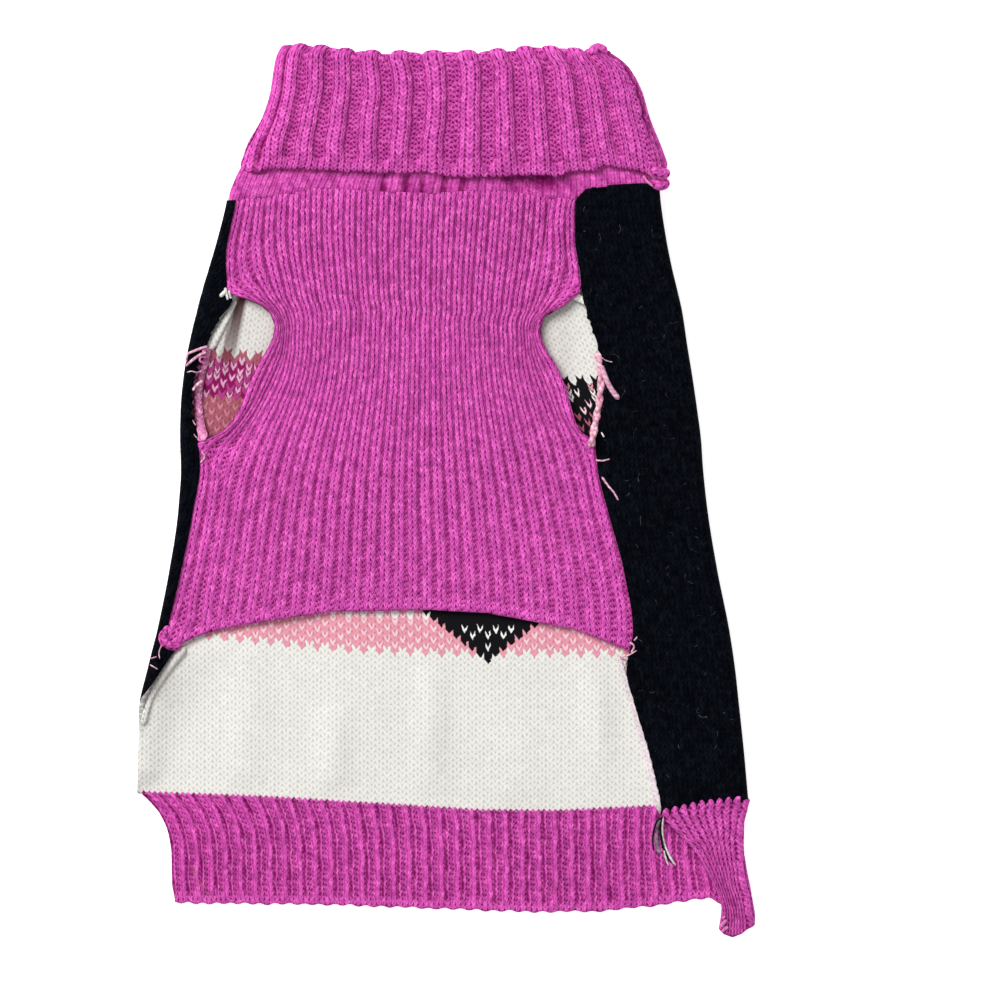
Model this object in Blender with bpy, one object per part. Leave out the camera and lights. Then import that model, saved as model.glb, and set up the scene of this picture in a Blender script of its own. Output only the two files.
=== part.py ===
"""A small turtleneck dog sweater, laid flat on a surface with its belly side up.

Four pieces of knitted cloth, each one closed wall: the back wraps round both sides, the ribbed
belly closes it on top, the hem band carries the back on downwards, and the collar is a tube that
is folded over on itself. +Y points to the neck, +X to the right and +Z up. All sizes below are
millimetres, and add_solid turns them into metres. Rows run from the neck down.
"""

from collections import namedtuple

import bmesh
import bpy
import numpy as np

MM = 0.001
SEAM_GAP = 0.3

# Walls and the height of their ribs
BACK_WALL = 2.0
BELLY_WALL = 1.6
BELLY_RIB = 0.7
HEM_WALL = 1.5
HEM_RIB = 0.7
COLLAR_WALL = 1.6
COLLAR_RIB = 1.0

# How many ribs each piece has
BELLY_RIBS = 31
HEM_RIBS = 36
FLAP_RIBS = 5
FLAP_NARROWEST = 5.0
COLLAR_RIBS_IN_FRONT = 13

# Heights of the middle of each layer above the surface
LOW_LAYER = BACK_WALL / 2
HEM_LAYER = HEM_WALL / 2
TOP_LAYER = 3.5
BELLY_LAYER = 3.3
FOLD_RADIUS = 1.8

# How far from a fold the cloth above it has settled down to the top layer
LEFT_SETTLES = 6.0
RIGHT_SETTLES = 18.0
FLAP_SETTLES = 12.0

# Where the top layers climb to the collar, and where rows bend to follow the neck and hem seams
NECK_CLIMB = 0.9
NECK_CLIMB_FROM = 82.0
NECK_CLIMB_LENGTH = 20.0
NECK_BEND_FROM = 85.0
NECK_BEND_LENGTH = 20.0
HEM_BEND_LENGTH = 45.0

# The body: the outline, and the edge of the back's right strip, which folds over on to the top
Station = namedtuple("Station", "y left right_edge right")
BODY = [
    Station(105.0, -75.5, 48.0, 75.0),
    Station(98.0, -76.6, 46.2, 75.6),
    Station(87.5, -79.5, 45.8, 77.4),
    Station(77.0, -82.6, 47.0, 79.5),
    Station(70.0, -84.7, 47.8, 81.2),
    Station(62.0, -86.8, 51.0, 83.0),
    Station(50.0, -89.6, 53.6, 84.8),
    Station(39.0, -91.4, 56.0, 86.6),
    Station(28.0, -92.4, 55.0, 88.2),
    Station(17.0, -92.6, 52.6, 89.6),
    Station(8.0, -92.3, 53.2, 90.2),
    Station(-7.0, -93.2, 56.8, 91.8),
    Station(-28.0, -96.3, 62.4, 95.2),
    Station(-49.0, -100.5, 65.6, 99.4),
    Station(-63.0, -103.8, 63.4, 101.5),
    Station(-75.0, -106.5, 66.3, 102.8),
    Station(-92.0, -107.6, 71.4, 104.6),
    Station(-109.0, -107.8, 75.4, 106.1),
]

# The back's left side: the cloth past the fold, measured round it, and the fold's radius
Fold = namedtuple("Fold", "y reach radius")
LEFT_FOLD = [
    Fold(105.0, 5.9, 1.8),
    Fold(87.5, 6.5, 1.8),
    Fold(70.0, 11.6, 1.8),
    Fold(62.0, 11.8, 1.8),
    Fold(50.0, 8.0, 1.8),
    Fold(39.0, 6.9, 1.8),
    Fold(28.0, 7.2, 1.8),
    Fold(17.0, 9.2, 1.8),
    Fold(8.0, 9.4, 1.8),
    Fold(-7.0, 8.0, 1.8),
    Fold(-28.0, 7.0, 1.8),
    Fold(-49.0, 5.9, 1.8),
    Fold(-56.0, 5.9, 1.8),
    Fold(-60.0, 11.0, 1.8),
    Fold(-66.0, 6.4, 1.8),
    Fold(-74.0, 3.8, 2.2),
    Fold(-88.0, 3.4, 3.2),
    Fold(-109.0, 2.8, 3.6),
]

# Seams and edges that run across the sweater
Edge = namedtuple("Edge", "x y")
NECK_SEAM = [
    Edge(-76.0, 100.6),
    Edge(-54.0, 103.2),
    Edge(-44.0, 105.6),
    Edge(-30.0, 104.2),
    Edge(-5.0, 103.4),
    Edge(19.0, 104.6),
    Edge(34.0, 102.0),
    Edge(46.0, 101.4),
    Edge(56.0, 104.2),
    Edge(68.0, 104.2),
    Edge(76.0, 103.4),
]
LOW_NECK_SEAM = 103.4
BELLY_HEM = [
    Edge(-99.0, -54.2),
    Edge(-89.0, -52.4),
    Edge(-80.0, -49.0),
    Edge(-62.0, -45.6),
    Edge(-40.0, -42.4),
    Edge(-5.0, -41.7),
    Edge(15.0, -42.8),
    Edge(46.0, -48.6),
    Edge(56.0, -52.6),
    Edge(66.0, -56.6),
]
HEM_SEAM = [
    Edge(-108.0, -106.0),
    Edge(-65.0, -107.6),
    Edge(-16.0, -110.6),
    Edge(12.0, -112.4),
    Edge(40.0, -112.6),
    Edge(68.0, -111.2),
    Edge(106.0, -108.5),
]
FLAP_SEAM = [
    Edge(75.0, -113.8),
    Edge(90.0, -110.4),
    Edge(106.0, -108.5),
]
HEM_EDGE = [
    Edge(-100.0, -144.4),
    Edge(-42.0, -145.0),
    Edge(-3.0, -146.4),
    Edge(30.0, -147.6),
    Edge(54.0, -147.4),
    Edge(75.0, -145.2),
    Edge(92.0, -142.6),
    Edge(100.0, -146.0),
    Edge(108.0, -151.0),
]
FLAP_EDGE = [
    Edge(95.0, -152.6),
    Edge(97.5, -156.0),
    Edge(101.0, -156.4),
    Edge(108.0, -151.0),
]

# The hem band's outline, and the free edge of its flap
HEM = [
    Station(-108.5, -107.0, 75.6, 106.2),
    Station(-112.0, -103.4, 78.2, 105.6),
    Station(-116.0, -100.2, 82.0, 104.8),
    Station(-122.0, -97.6, 86.8, 104.6),
    Station(-130.0, -96.4, 91.0, 105.2),
    Station(-140.0, -96.2, 94.6, 107.2),
    Station(-147.0, -95.2, 96.6, 108.0),
    Station(-156.0, -95.2, 95.6, 107.8),
]

# The belly before its armholes are cut, where it isn't sewn to the back
Span = namedtuple("Span", "y left right")
UNCUT_BELLY = [
    Span(70.0, -75.4, 47.3),
    Span(56.0, -72.5, 45.6),
    Span(40.0, -76.0, 46.2),
    Span(28.0, -80.5, 48.4),
    Span(17.0, -86.0, 52.0),
]
LEFT_ARMHOLE = [
    Edge(-78.0, 68.8),
    Edge(-72.5, 67.6),
    Edge(-64.4, 64.6),
    Edge(-60.6, 61.0),
    Edge(-59.2, 56.0),
    Edge(-61.4, 50.4),
    Edge(-65.0, 44.0),
    Edge(-68.6, 36.4),
    Edge(-71.8, 28.0),
    Edge(-75.6, 22.4),
    Edge(-81.0, 18.6),
    Edge(-88.0, 16.4),
]
RIGHT_ARMHOLE = [
    Edge(49.5, 69.4),
    Edge(44.5, 67.4),
    Edge(39.6, 64.6),
    Edge(34.4, 61.2),
    Edge(33.2, 56.0),
    Edge(34.6, 50.4),
    Edge(38.2, 44.8),
    Edge(42.0, 36.4),
    Edge(44.4, 28.0),
    Edge(46.2, 22.4),
    Edge(49.0, 19.0),
    Edge(54.0, 16.4),
]
CUTTER_HEIGHTS = (-5.0, 25.0)
LEFT_OF_ALL = -130.0
RIGHT_OF_ALL = 130.0
ARMHOLE_ROLL = 1.3
ARMHOLE_ROLL_WIDTH = 4.0

# Soft folds: a ridge, or a trough with a height below zero, along a line down the cloth
Crease = namedtuple("Crease", "x y width length height")
BACK_CREASES = [
    Crease(-26.0, -88.0, 7.0, 30.0, 0.7),
    Crease(2.0, -82.0, 8.0, 34.0, 0.8),
    Crease(60.0, -84.0, 6.0, 26.0, 0.9),
    Crease(-94.0, -86.0, 5.0, 26.0, -0.3),
]
BELLY_CREASES = [
    Crease(-52.0, 92.0, 5.0, 12.0, 1.1),
    Crease(-34.0, 94.0, 5.0, 10.0, 0.9),
    Crease(4.0, 94.0, 6.0, 12.0, 0.8),
    Crease(24.0, 92.0, 4.0, 14.0, 1.2),
    Crease(37.0, 88.0, 4.0, 12.0, 1.0),
    Crease(-14.0, 52.0, 30.0, 34.0, 0.7),
    Crease(-50.0, -30.0, 10.0, 22.0, 0.6),
    Crease(28.0, -30.0, 12.0, 20.0, 0.6),
]

# The collar's rings from its neck edge, over the top fold, to its hem. low and high are the
# heights of the middle of the wall, below and above; end is how far each side curves in.
Ring = namedtuple("Ring", "y left right low high end")
COLLAR = [
    Ring(105.2, -74.2, 73.8, 1.1, 4.7, 2.4),
    Ring(108.0, -71.0, 73.6, 2.2, 5.8, 2.4),
    Ring(112.0, -67.0, 73.0, 3.5, 6.8, 2.2),
    Ring(122.0, -62.4, 69.4, 3.5, 7.2, 2.8),
    Ring(136.0, -56.6, 65.0, 3.5, 7.4, 3.0),
    Ring(146.0, -55.0, 60.6, 3.5, 7.4, 3.0),
    Ring(152.4, -53.8, 55.0, 3.5, 7.4, 3.0),
    Ring(153.6, -54.4, 55.6, 3.1, 7.9, 4.5),
    Ring(154.2, -55.8, 57.0, 2.15, 9.0, 6.5),
    Ring(153.6, -57.4, 58.6, 1.2, 10.1, 8.5),
    Ring(152.4, -58.0, 59.2, 0.8, 10.6, 9.5),
    Ring(146.0, -59.4, 65.2, 0.8, 10.7, 10.0),
    Ring(138.0, -60.3, 69.2, 0.8, 10.8, 10.5),
    Ring(128.0, -63.8, 71.9, 0.8, 10.4, 10.5),
    Ring(118.0, -68.8, 75.6, 0.8, 9.9, 10.0),
    Ring(110.6, -72.2, 78.0, 0.8, 9.4, 9.5),
]
COLLAR_HEM_BELOW = 2.4
COLLAR_HEM = [
    Edge(-78.0, 3.2),
    Edge(-60.0, 1.6),
    Edge(-22.0, -1.2),
    Edge(4.0, -2.6),
    Edge(30.0, -1.6),
    Edge(54.0, 0.6),
    Edge(70.0, 0.4),
    Edge(79.0, -3.4),
]

MAGENTA = (0.55, 0.075, 0.34)
NEAR_BLACK = (0.004, 0.005, 0.009)


def column(table, name):
    return np.array([getattr(row, name) for row in table])


def curve(table, along, name, at):
    """One column of a table read at any place along it, smooth and with no overshoot."""
    order = np.argsort(column(table, along))
    x = column(table, along)[order]
    y = column(table, name)[order]
    step = np.diff(x)
    slope = np.diff(y) / step
    before = slope[:-1]
    after = slope[1:]
    turning = before * after <= 0
    tangent = np.concatenate([slope[:1], np.zeros(len(before)), slope[-1:]])
    both = np.where(turning, 1.0, before + after)
    tangent[1:-1] = np.where(turning, 0.0, 2 * before * after / both)
    at = np.clip(np.asarray(at, float), x[0], x[-1])
    i = np.clip(np.searchsorted(x, at) - 1, 0, len(step) - 1)
    t = (at - x[i]) / step[i]
    start = (1 + 2 * t) * (1 - t) ** 2 * y[i] + t * (1 - t) ** 2 * step[i] * tangent[i]
    end = t**2 * (3 - 2 * t) * y[i + 1] + t**2 * (t - 1) * step[i] * tangent[i + 1]
    return start + end


def straight(table, along, name, at):
    """One column of a table read at any place along it, on straight lines between its rows."""
    order = np.argsort(column(table, along))
    return np.interp(at, column(table, along)[order], column(table, name)[order])


def ease(t):
    """0 to 1, slow at both ends."""
    t = np.clip(t, 0.0, 1.0)
    return t * t * (3 - 2 * t)


def creases(table, x, y):
    """The height of all soft folds at a place."""
    height = np.zeros(np.broadcast(x, y).shape)
    for crease in table:
        across = ((x - crease.x) / crease.width) ** 2
        down = ((y - crease.y) / crease.length) ** 2
        height = height + crease.height * np.exp(-across - down)
    return height


def outward(x, z):
    """Unit normals in a cross-section, to the left of the way that its points run."""
    dx = np.gradient(x, axis=1)
    dz = np.gradient(z, axis=1)
    length = np.hypot(dx, dz)
    return -dz / length, dx / length


def offset(x, y, z, distance):
    """The sheet's points moved out from it by a distance."""
    nx, nz = outward(x, z)
    return np.stack([x + nx * distance, y, z + nz * distance], axis=-1)


def wall_faces(rows, outer, inner, ring):
    """Faces of a wall between a grid of outer points and a grid with fewer inner columns."""
    ratio = outer // inner if ring else (outer - 1) // (inner - 1)
    base = rows * outer
    faces = []

    def out(i, j):
        return i * outer + j % outer

    def within(i, j):
        return base + i * inner + j % inner

    for i in range(rows - 1):
        for j in range(outer if ring else outer - 1):
            faces.append((out(i, j), out(i, j + 1), out(i + 1, j + 1), out(i + 1, j)))
        for j in range(inner if ring else inner - 1):
            faces.append((within(i, j), within(i + 1, j), within(i + 1, j + 1), within(i, j + 1)))
    for j in range(inner if ring else inner - 1):
        for i in (0, rows - 1):
            edge = [out(i, k) for k in range(j * ratio, j * ratio + ratio + 1)]
            corner = within(i, j + 1)
            faces.extend((a, b, corner) for a, b in zip(edge, edge[1:]))
            faces.append((edge[0], corner, within(i, j)))
    if not ring:
        for i in range(rows - 1):
            faces.append((out(i, 0), out(i + 1, 0), within(i + 1, 0), within(i, 0)))
            last = outer - 1
            end = inner - 1
            faces.append((out(i, last), within(i, end), within(i + 1, end), out(i + 1, last)))
    return faces


def add_solid(name, points, faces, material=None):
    """A mesh object from millimetre points, with its faces turned outwards."""
    mesh = bpy.data.meshes.new(name)
    mesh.from_pydata((np.asarray(points) * MM).tolist(), [], faces)
    work = bmesh.new()
    work.from_mesh(mesh)
    bmesh.ops.triangulate(work, faces=work.faces)
    bmesh.ops.recalc_face_normals(work, faces=work.faces)
    work.to_mesh(mesh)
    work.free()
    mesh.shade_smooth()
    if material:
        mesh.materials.append(material)
    solid = bpy.data.objects.new(name, mesh)
    bpy.context.scene.collection.objects.link(solid)
    return solid


def add_wall(name, outer, inner, material, ring=False):
    rows, outer_columns, _ = outer.shape
    inner_columns = inner.shape[1]
    points = np.concatenate([outer.reshape(-1, 3), inner.reshape(-1, 3)])
    faces = wall_faces(rows, outer_columns, inner_columns, ring)
    return add_solid(name, points, faces, material)


def cloth(name, color):
    material = bpy.data.materials.new(name)
    material.use_nodes = True
    shader = material.node_tree.nodes["Principled BSDF"]
    shader.inputs["Base Color"].default_value = (*color, 1.0)
    shader.inputs["Roughness"].default_value = 0.9
    shader.inputs["Metallic"].default_value = 0.0
    material.diffuse_color = (*color, 1.0)
    return material


def left_side(y):
    """The cloth past the left fold: x and z of the wall's middle, from the low layer round on."""
    radius = curve(LEFT_FOLD, "y", "radius", y)
    reach = curve(LEFT_FOLD, "y", "reach", y)
    way = reach * np.linspace(0.0, 1.0, y.shape[1])
    turn = np.minimum(way / radius, np.pi)
    flat = np.maximum(way - np.pi * radius, 0.0)
    widest = np.sin(np.minimum(reach / radius, np.pi / 2))
    start = curve(BODY, "y", "left", y) + (BACK_WALL / 2 + radius) * widest
    settle = LOW_LAYER + 2 * radius - TOP_LAYER
    z = LOW_LAYER + radius * (1 - np.cos(turn)) - settle * ease(flat / LEFT_SETTLES)
    return start - radius * np.sin(turn) + flat, z, start


def left_edge(y):
    """Where the back's left strip ends and the belly begins."""
    left = curve(BODY, "y", "left", y)
    reach = curve(LEFT_FOLD, "y", "reach", y)
    return left + BACK_WALL / 2 + FOLD_RADIUS + reach - np.pi * FOLD_RADIUS


def right_fold(right, wall, low):
    """A half turn from the top layer down to the low one, leaving out both ends."""
    turn = np.linspace(0.0, np.pi, right.shape[1] + 2)[1:-1]
    x = right - wall / 2 - FOLD_RADIUS + FOLD_RADIUS * np.sin(turn)
    return x, low + FOLD_RADIUS + FOLD_RADIUS * np.cos(turn) + 0 * right


def neck_rise(y):
    """How far the top layers climb towards the collar."""
    return NECK_CLIMB * ease((y - NECK_CLIMB_FROM) / NECK_CLIMB_LENGTH)


def back_rows(longest):
    """A row at each station, with more between where two are further apart than longest."""
    stations = np.unique(np.concatenate([column(BODY, "y"), column(LEFT_FOLD, "y")]))[::-1]
    rows = [stations[:1]]
    for above, below in zip(stations, stations[1:]):
        steps = int(np.ceil((above - below) / longest))
        rows.append(np.linspace(above, below, steps + 1)[1:])
    return np.concatenate(rows)


def back_section(y, strip, fold, side):
    """x and z of the back's wall: the right strip, the right fold, the low layer, the left."""
    strip_y, fold_y, low_y, side_y = np.split(y, [strip, strip + fold, y.shape[1] - side], axis=1)
    inset = BACK_WALL / 2 + FOLD_RADIUS
    turn_x = curve(BODY, "y", "right", strip_y) - inset
    edge = curve(BODY, "y", "right_edge", strip_y)
    strip_x = edge + (turn_x - edge) * np.linspace(0.0, 1.0, strip)
    settle = LOW_LAYER + 2 * FOLD_RADIUS - TOP_LAYER
    strip_z = TOP_LAYER + settle * ease(1 + (strip_x - turn_x) / RIGHT_SETTLES)
    fold_x, fold_z = right_fold(curve(BODY, "y", "right", fold_y), BACK_WALL, LOW_LAYER)
    side_x, side_z, _ = left_side(side_y)
    _, _, start = left_side(low_y)
    turn_x = curve(BODY, "y", "right", low_y) - inset
    t = np.linspace(0.0, 1.0, low_y.shape[1] + 1)[:-1]
    low_x = turn_x + (start - turn_x) * t
    low_z = np.full_like(low_x, LOW_LAYER)
    x = np.concatenate([strip_x, fold_x, low_x, side_x], axis=1)
    return x, np.concatenate([strip_z, fold_z, low_z, side_z], axis=1)


def back_sheet(strip=8, fold=5, low=12, side=7):
    """The middle of the back's wall, a grid whose rows run from the right strip round below."""
    columns = np.arange(strip + fold + low + side)
    over = columns < strip + fold // 2
    on_top = over | (columns > len(columns) - side + 2)
    rows = back_rows(9.0)[:, None] + 0.0 * columns
    y = rows
    for _ in range(4):
        x, z = back_section(y, strip, fold, side)
        neck = np.where(on_top, straight(NECK_SEAM, "x", "y", x), LOW_NECK_SEAM) - SEAM_GAP
        seam = np.where(over, straight(FLAP_SEAM, "x", "y", x), straight(HEM_SEAM, "x", "y", x))
        y = rows + (neck - BODY[0].y) * ease((rows - NECK_BEND_FROM) / NECK_BEND_LENGTH)
        near_hem = ease(1 - (rows - BODY[-1].y) / HEM_BEND_LENGTH)
        y = y + (seam + SEAM_GAP - BODY[-1].y) * near_hem
    x, z = back_section(y, strip, fold, side)
    rise = neck_rise(y) * ease((z - LOW_LAYER) / (TOP_LAYER - LOW_LAYER))
    return x, y, z + rise


def add_back(material):
    x, y, z = back_sheet()
    thick = np.where(np.abs(z - LOW_LAYER) < 0.01, creases(BACK_CREASES, x, y), 0.0)
    outer = offset(x, y, z, BACK_WALL / 2)
    inner = offset(x, y, z, -BACK_WALL / 2 - thick)
    return add_wall("back_panel", outer, inner, material)


def add_hem(material, rows=6, fold=4):
    """The hem band: ribbed on its visible faces, the inside of the low layer and the flap's top."""
    flap_columns = FLAP_RIBS * 3 + 1
    low_columns = HEM_RIBS * 3 + 1
    v = np.linspace(0.0, 1.0, rows)[:, None]
    nominal = HEM[0].y + (HEM[-2].y - HEM[0].y) * v
    flap_y = HEM[0].y + (HEM[-1].y - HEM[0].y) * v
    left = curve(HEM, "y", "left", nominal)
    right = curve(HEM, "y", "right", nominal)
    turn_x = right - HEM_WALL / 2 - FOLD_RADIUS
    edge = np.minimum(curve(HEM, "y", "right_edge", flap_y), turn_x - FLAP_NARROWEST)
    t = np.linspace(0.0, 1.0, flap_columns)[None, :]
    flap_x = edge + (turn_x - edge) * t
    low_top = HEM_LAYER + 2 * FOLD_RADIUS
    flap_z = TOP_LAYER + (low_top - TOP_LAYER) * ease(1 + (flap_x - turn_x) / FLAP_SETTLES)
    fold_x, fold_z = right_fold(right + np.zeros((1, fold)), HEM_WALL, HEM_LAYER)
    t = np.linspace(0.0, 1.0, low_columns)[None, :]
    low_x = turn_x + (left + HEM_WALL / 2 - turn_x) * t
    low_z = np.full_like(low_x, HEM_LAYER)
    x = np.concatenate([flap_x, fold_x, low_x], axis=1)
    z = np.concatenate([flap_z, fold_z, low_z], axis=1)
    over = np.arange(x.shape[1]) < flap_columns + fold // 2
    seam = np.where(over, straight(FLAP_SEAM, "x", "y", x), straight(HEM_SEAM, "x", "y", x))
    edge_y = np.where(over, straight(FLAP_EDGE, "x", "y", x), straight(HEM_EDGE, "x", "y", x))
    y = seam - SEAM_GAP + (edge_y - seam) * v
    place = np.arange(x.shape[1]) % 3
    raised = np.where(place == 1, HEM_RIB, np.where(place == 2, 0.5 * HEM_RIB, 0.0))
    flap = np.arange(x.shape[1]) < flap_columns
    low = np.arange(x.shape[1]) >= flap_columns + fold
    outer = offset(x, y, z, HEM_WALL / 2 + np.where(flap, raised, 0.0))
    inner = offset(x, y, z, -HEM_WALL / 2 - np.where(low, raised, 0.0))
    return add_wall("hem_band", outer, inner, material)


def belly_edges(y):
    """The belly's two edges: its seams to the back and, between them, its uncut width."""
    uncut = (y < UNCUT_BELLY[0].y) & (y > UNCUT_BELLY[-1].y)
    left = np.where(uncut, curve(UNCUT_BELLY, "y", "left", y), left_edge(y) + 1.5 * SEAM_GAP)
    right = curve(BODY, "y", "right_edge", y) - SEAM_GAP
    return left, np.where(uncut, curve(UNCUT_BELLY, "y", "right", y), right)


def distance_to(line, x, y):
    """The distance from each place to a line of points."""
    nearest = np.full(np.broadcast(x, y).shape, np.inf)
    for a, b in zip(line, line[1:]):
        dx = b.x - a.x
        dy = b.y - a.y
        t = np.clip(((x - a.x) * dx + (y - a.y) * dy) / (dx * dx + dy * dy), 0.0, 1.0)
        nearest = np.minimum(nearest, np.hypot(x - a.x - t * dx, y - a.y - t * dy))
    return nearest


def add_cutter(name, line, far):
    """A prism that cuts an armhole: the line of the cut, closed far outside the belly."""
    outline = [(edge.x, edge.y) for edge in line]
    outline += [(far, line[-1].y), (far, line[0].y)]
    count = len(outline)
    points = [(x, y, z) for z in CUTTER_HEIGHTS for x, y in outline]
    faces = [tuple(range(count)), tuple(range(2 * count - 1, count - 1, -1))]
    faces += [(i, (i + 1) % count, count + (i + 1) % count, count + i) for i in range(count)]
    cutter = add_solid(name, points, faces)
    cutter.hide_render = True
    cutter.display_type = "WIRE"
    return cutter


def add_belly(material, rows=18):
    columns = BELLY_RIBS * 3 + 1
    u = np.linspace(0.0, 1.0, columns)[None, :]
    v = np.linspace(0.0, 1.0, rows)[:, None]
    y = BODY[0].y * (1 - v) + BELLY_HEM[0].y * v * np.ones_like(u)
    for _ in range(4):
        left, right = belly_edges(y)
        x = left + (right - left) * u
        top = straight(NECK_SEAM, "x", "y", x) - SEAM_GAP
        y = top + (straight(BELLY_HEM, "x", "y", x) - top) * v
    left, right = belly_edges(y)
    x = left + (right - left) * u
    roll = ARMHOLE_ROLL * np.exp(-(distance_to(LEFT_ARMHOLE, x, y) / ARMHOLE_ROLL_WIDTH) ** 2)
    roll += ARMHOLE_ROLL * np.exp(-(distance_to(RIGHT_ARMHOLE, x, y) / ARMHOLE_ROLL_WIDTH) ** 2)
    z = BELLY_LAYER + neck_rise(y) + creases(BELLY_CREASES, x, y) + roll
    place = np.arange(columns) % 3
    raised = np.where(place == 0, 0.0, BELLY_RIB)
    outer = np.stack([x, y, z + BELLY_WALL / 2 + raised], axis=-1)
    inner = np.stack([x, y, z - BELLY_WALL / 2], axis=-1)[:, ::3]
    belly = add_wall("belly_panel", outer, inner, material)
    armholes = (("left", LEFT_ARMHOLE, LEFT_OF_ALL), ("right", RIGHT_ARMHOLE, RIGHT_OF_ALL))
    for side, line, far in armholes:
        cut = belly.modifiers.new(side + "_armhole", "BOOLEAN")
        cut.operation = "DIFFERENCE"
        cut.solver = "EXACT"
        cut.object = add_cutter("cutter_" + side + "_armhole", line, far)
    return belly


def unit(vectors):
    return vectors / np.linalg.norm(vectors, axis=-1, keepdims=True)


def ring_points(ring, columns_high, columns_low):
    """x and z round a flattened ring: even steps over the top, steps that close up below."""
    turn = np.linspace(0.0, np.pi / 2, 24)
    half = (ring.high - ring.low) / 2
    middle = (ring.high + ring.low) / 2
    side_x = ring.end * (1 - np.sin(turn[::-1]))
    side_z = half * np.sin(turn)
    x_left = ring.left + ring.end * (1 - np.cos(turn))
    x_right = ring.right - ring.end * (1 - np.cos(turn))
    top_x = np.concatenate([x_left, x_right[::-1]])
    top_z = np.concatenate([side_z, side_z[::-1]])
    way = np.concatenate([[0.0], np.cumsum(np.hypot(np.diff(top_x), np.diff(top_z)))])
    high = np.linspace(0.0, way[-1], columns_high + 1)[:-1]
    low = way[-1] * (1 + np.cos(np.linspace(0.0, np.pi, columns_low + 1)[:-1])) / 2
    x = np.concatenate([np.interp(high, way, top_x), np.interp(low, way, top_x)])
    z = np.concatenate([np.interp(high, way, top_z), -np.interp(low, way, top_z)])
    return x, middle + z


def add_collar(material, columns_low=20):
    columns_high = COLLAR_RIBS_IN_FRONT * 4
    rings = [ring_points(ring, columns_high, columns_low) for ring in COLLAR]
    x = np.array([ring[0] for ring in rings])
    z = np.array([ring[1] for ring in rings])
    y = np.repeat(column(COLLAR, "y")[:, None], x.shape[1], axis=1)
    top = z > (column(COLLAR, "high") + column(COLLAR, "low"))[:, None] / 2
    seam = np.where(top, straight(NECK_SEAM, "x", "y", x), LOW_NECK_SEAM) + SEAM_GAP
    near_neck = np.array([1.0, 0.6] + [0.0] * (len(COLLAR) - 2))[:, None]
    y = y + (seam - COLLAR[0].y) * near_neck
    near_hem = np.linspace(-3.0, 1.0, len(COLLAR)).clip(0.0)[:, None]
    y = y + near_hem * np.where(top, straight(COLLAR_HEM, "x", "y", x), COLLAR_HEM_BELOW)
    points = np.stack([x, y, z], axis=-1)
    step = unit(np.roll(points, -1, axis=1) - points)
    around = step + np.roll(step, 1, axis=1)
    step = unit(np.diff(points, axis=0))
    down = np.concatenate([step[:1], step[:-1] + step[1:], step[-1:]])
    normal = unit(np.cross(around, down))
    place = np.arange(x.shape[1])
    rib = np.where((place % 4 < 2) & (place < columns_high), COLLAR_RIB, 0.0)
    # The tube shows its outside up to the hem that hides it, and its inside from the fold on
    neck = rib * np.array([0.6, 0.6, 0.3] + [0.0] * (len(COLLAR) - 3))[:, None]
    turned = rib * np.array([0.0] * 6 + [0.4, 0.8] + [1.0] * (len(COLLAR) - 8))[:, None]
    outer = points + normal * (COLLAR_WALL / 2 + neck)[..., None]
    inner = points - normal * (COLLAR_WALL / 2 + turned)[..., None]
    return add_wall("collar", outer, inner, material, ring=True)


def main():
    for old in list(bpy.data.objects):
        bpy.data.objects.remove(old)
    magenta = cloth("magenta_knit", MAGENTA)
    black = cloth("black_knit", NEAR_BLACK)
    add_back(black)
    add_hem(magenta)
    add_belly(magenta)
    add_collar(magenta)


main()
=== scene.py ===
"""A small turtleneck dog sweater, laid flat with its belly side up.

Four pieces of knitted cloth stand for the four solids, each one a thin wall with its ribs in the
mesh and its stitches in the material, and the yarn that shows at their edges lies on them. +Y
points to the neck, +X to the right and +Z up. All sizes are millimetres until add_mesh turns them
into metres. Rows of points run from the neck down, columns from the left to the right.
"""

import math
from collections import namedtuple
from functools import partialmethod

import bpy
import numpy as np
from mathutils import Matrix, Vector
from mathutils.bvhtree import BVHTree


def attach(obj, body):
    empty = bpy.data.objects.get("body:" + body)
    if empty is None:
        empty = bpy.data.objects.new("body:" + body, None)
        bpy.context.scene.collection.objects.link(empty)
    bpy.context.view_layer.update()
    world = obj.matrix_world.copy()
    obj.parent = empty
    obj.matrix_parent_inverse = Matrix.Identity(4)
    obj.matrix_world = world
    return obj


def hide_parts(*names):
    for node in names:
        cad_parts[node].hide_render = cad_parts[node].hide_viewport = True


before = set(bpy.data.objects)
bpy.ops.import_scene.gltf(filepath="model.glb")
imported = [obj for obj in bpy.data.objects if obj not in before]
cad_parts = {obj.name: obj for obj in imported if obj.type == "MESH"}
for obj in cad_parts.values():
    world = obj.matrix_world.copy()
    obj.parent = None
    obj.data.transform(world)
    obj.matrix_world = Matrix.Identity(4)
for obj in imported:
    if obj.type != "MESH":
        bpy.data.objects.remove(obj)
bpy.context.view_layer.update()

MM = 0.001
SEAM_GAP = -0.1

BACK_WALL = 2
BELLY_WALL = 1.6
BELLY_RIB = 0.5
BELLY_RIDGE = 3.6
CORNER_RISE = 3.6
CORNER_REACH = 5.2
HEM_WALL = 1.5
HEM_RIB = 1.15
HEM_LEAN = 3.2
HEM_LIP = 2.2
HEM_LOOP = 1.1
FLAP_LOOP = 2.2
COLLAR_WALL = 1.6
COLLAR_RIB = 1.5
COLLAR_LIP = 0.20
COLLAR_SEAM = 0.479

BELLY_RIBS = 31
HEM_RIBS = 36
FLAP_WALES = 9
FLAP_NARROWEST = 5
COLLAR_RIBS_IN_FRONT = 13
COLLAR_RIBS_BELOW = 12

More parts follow.
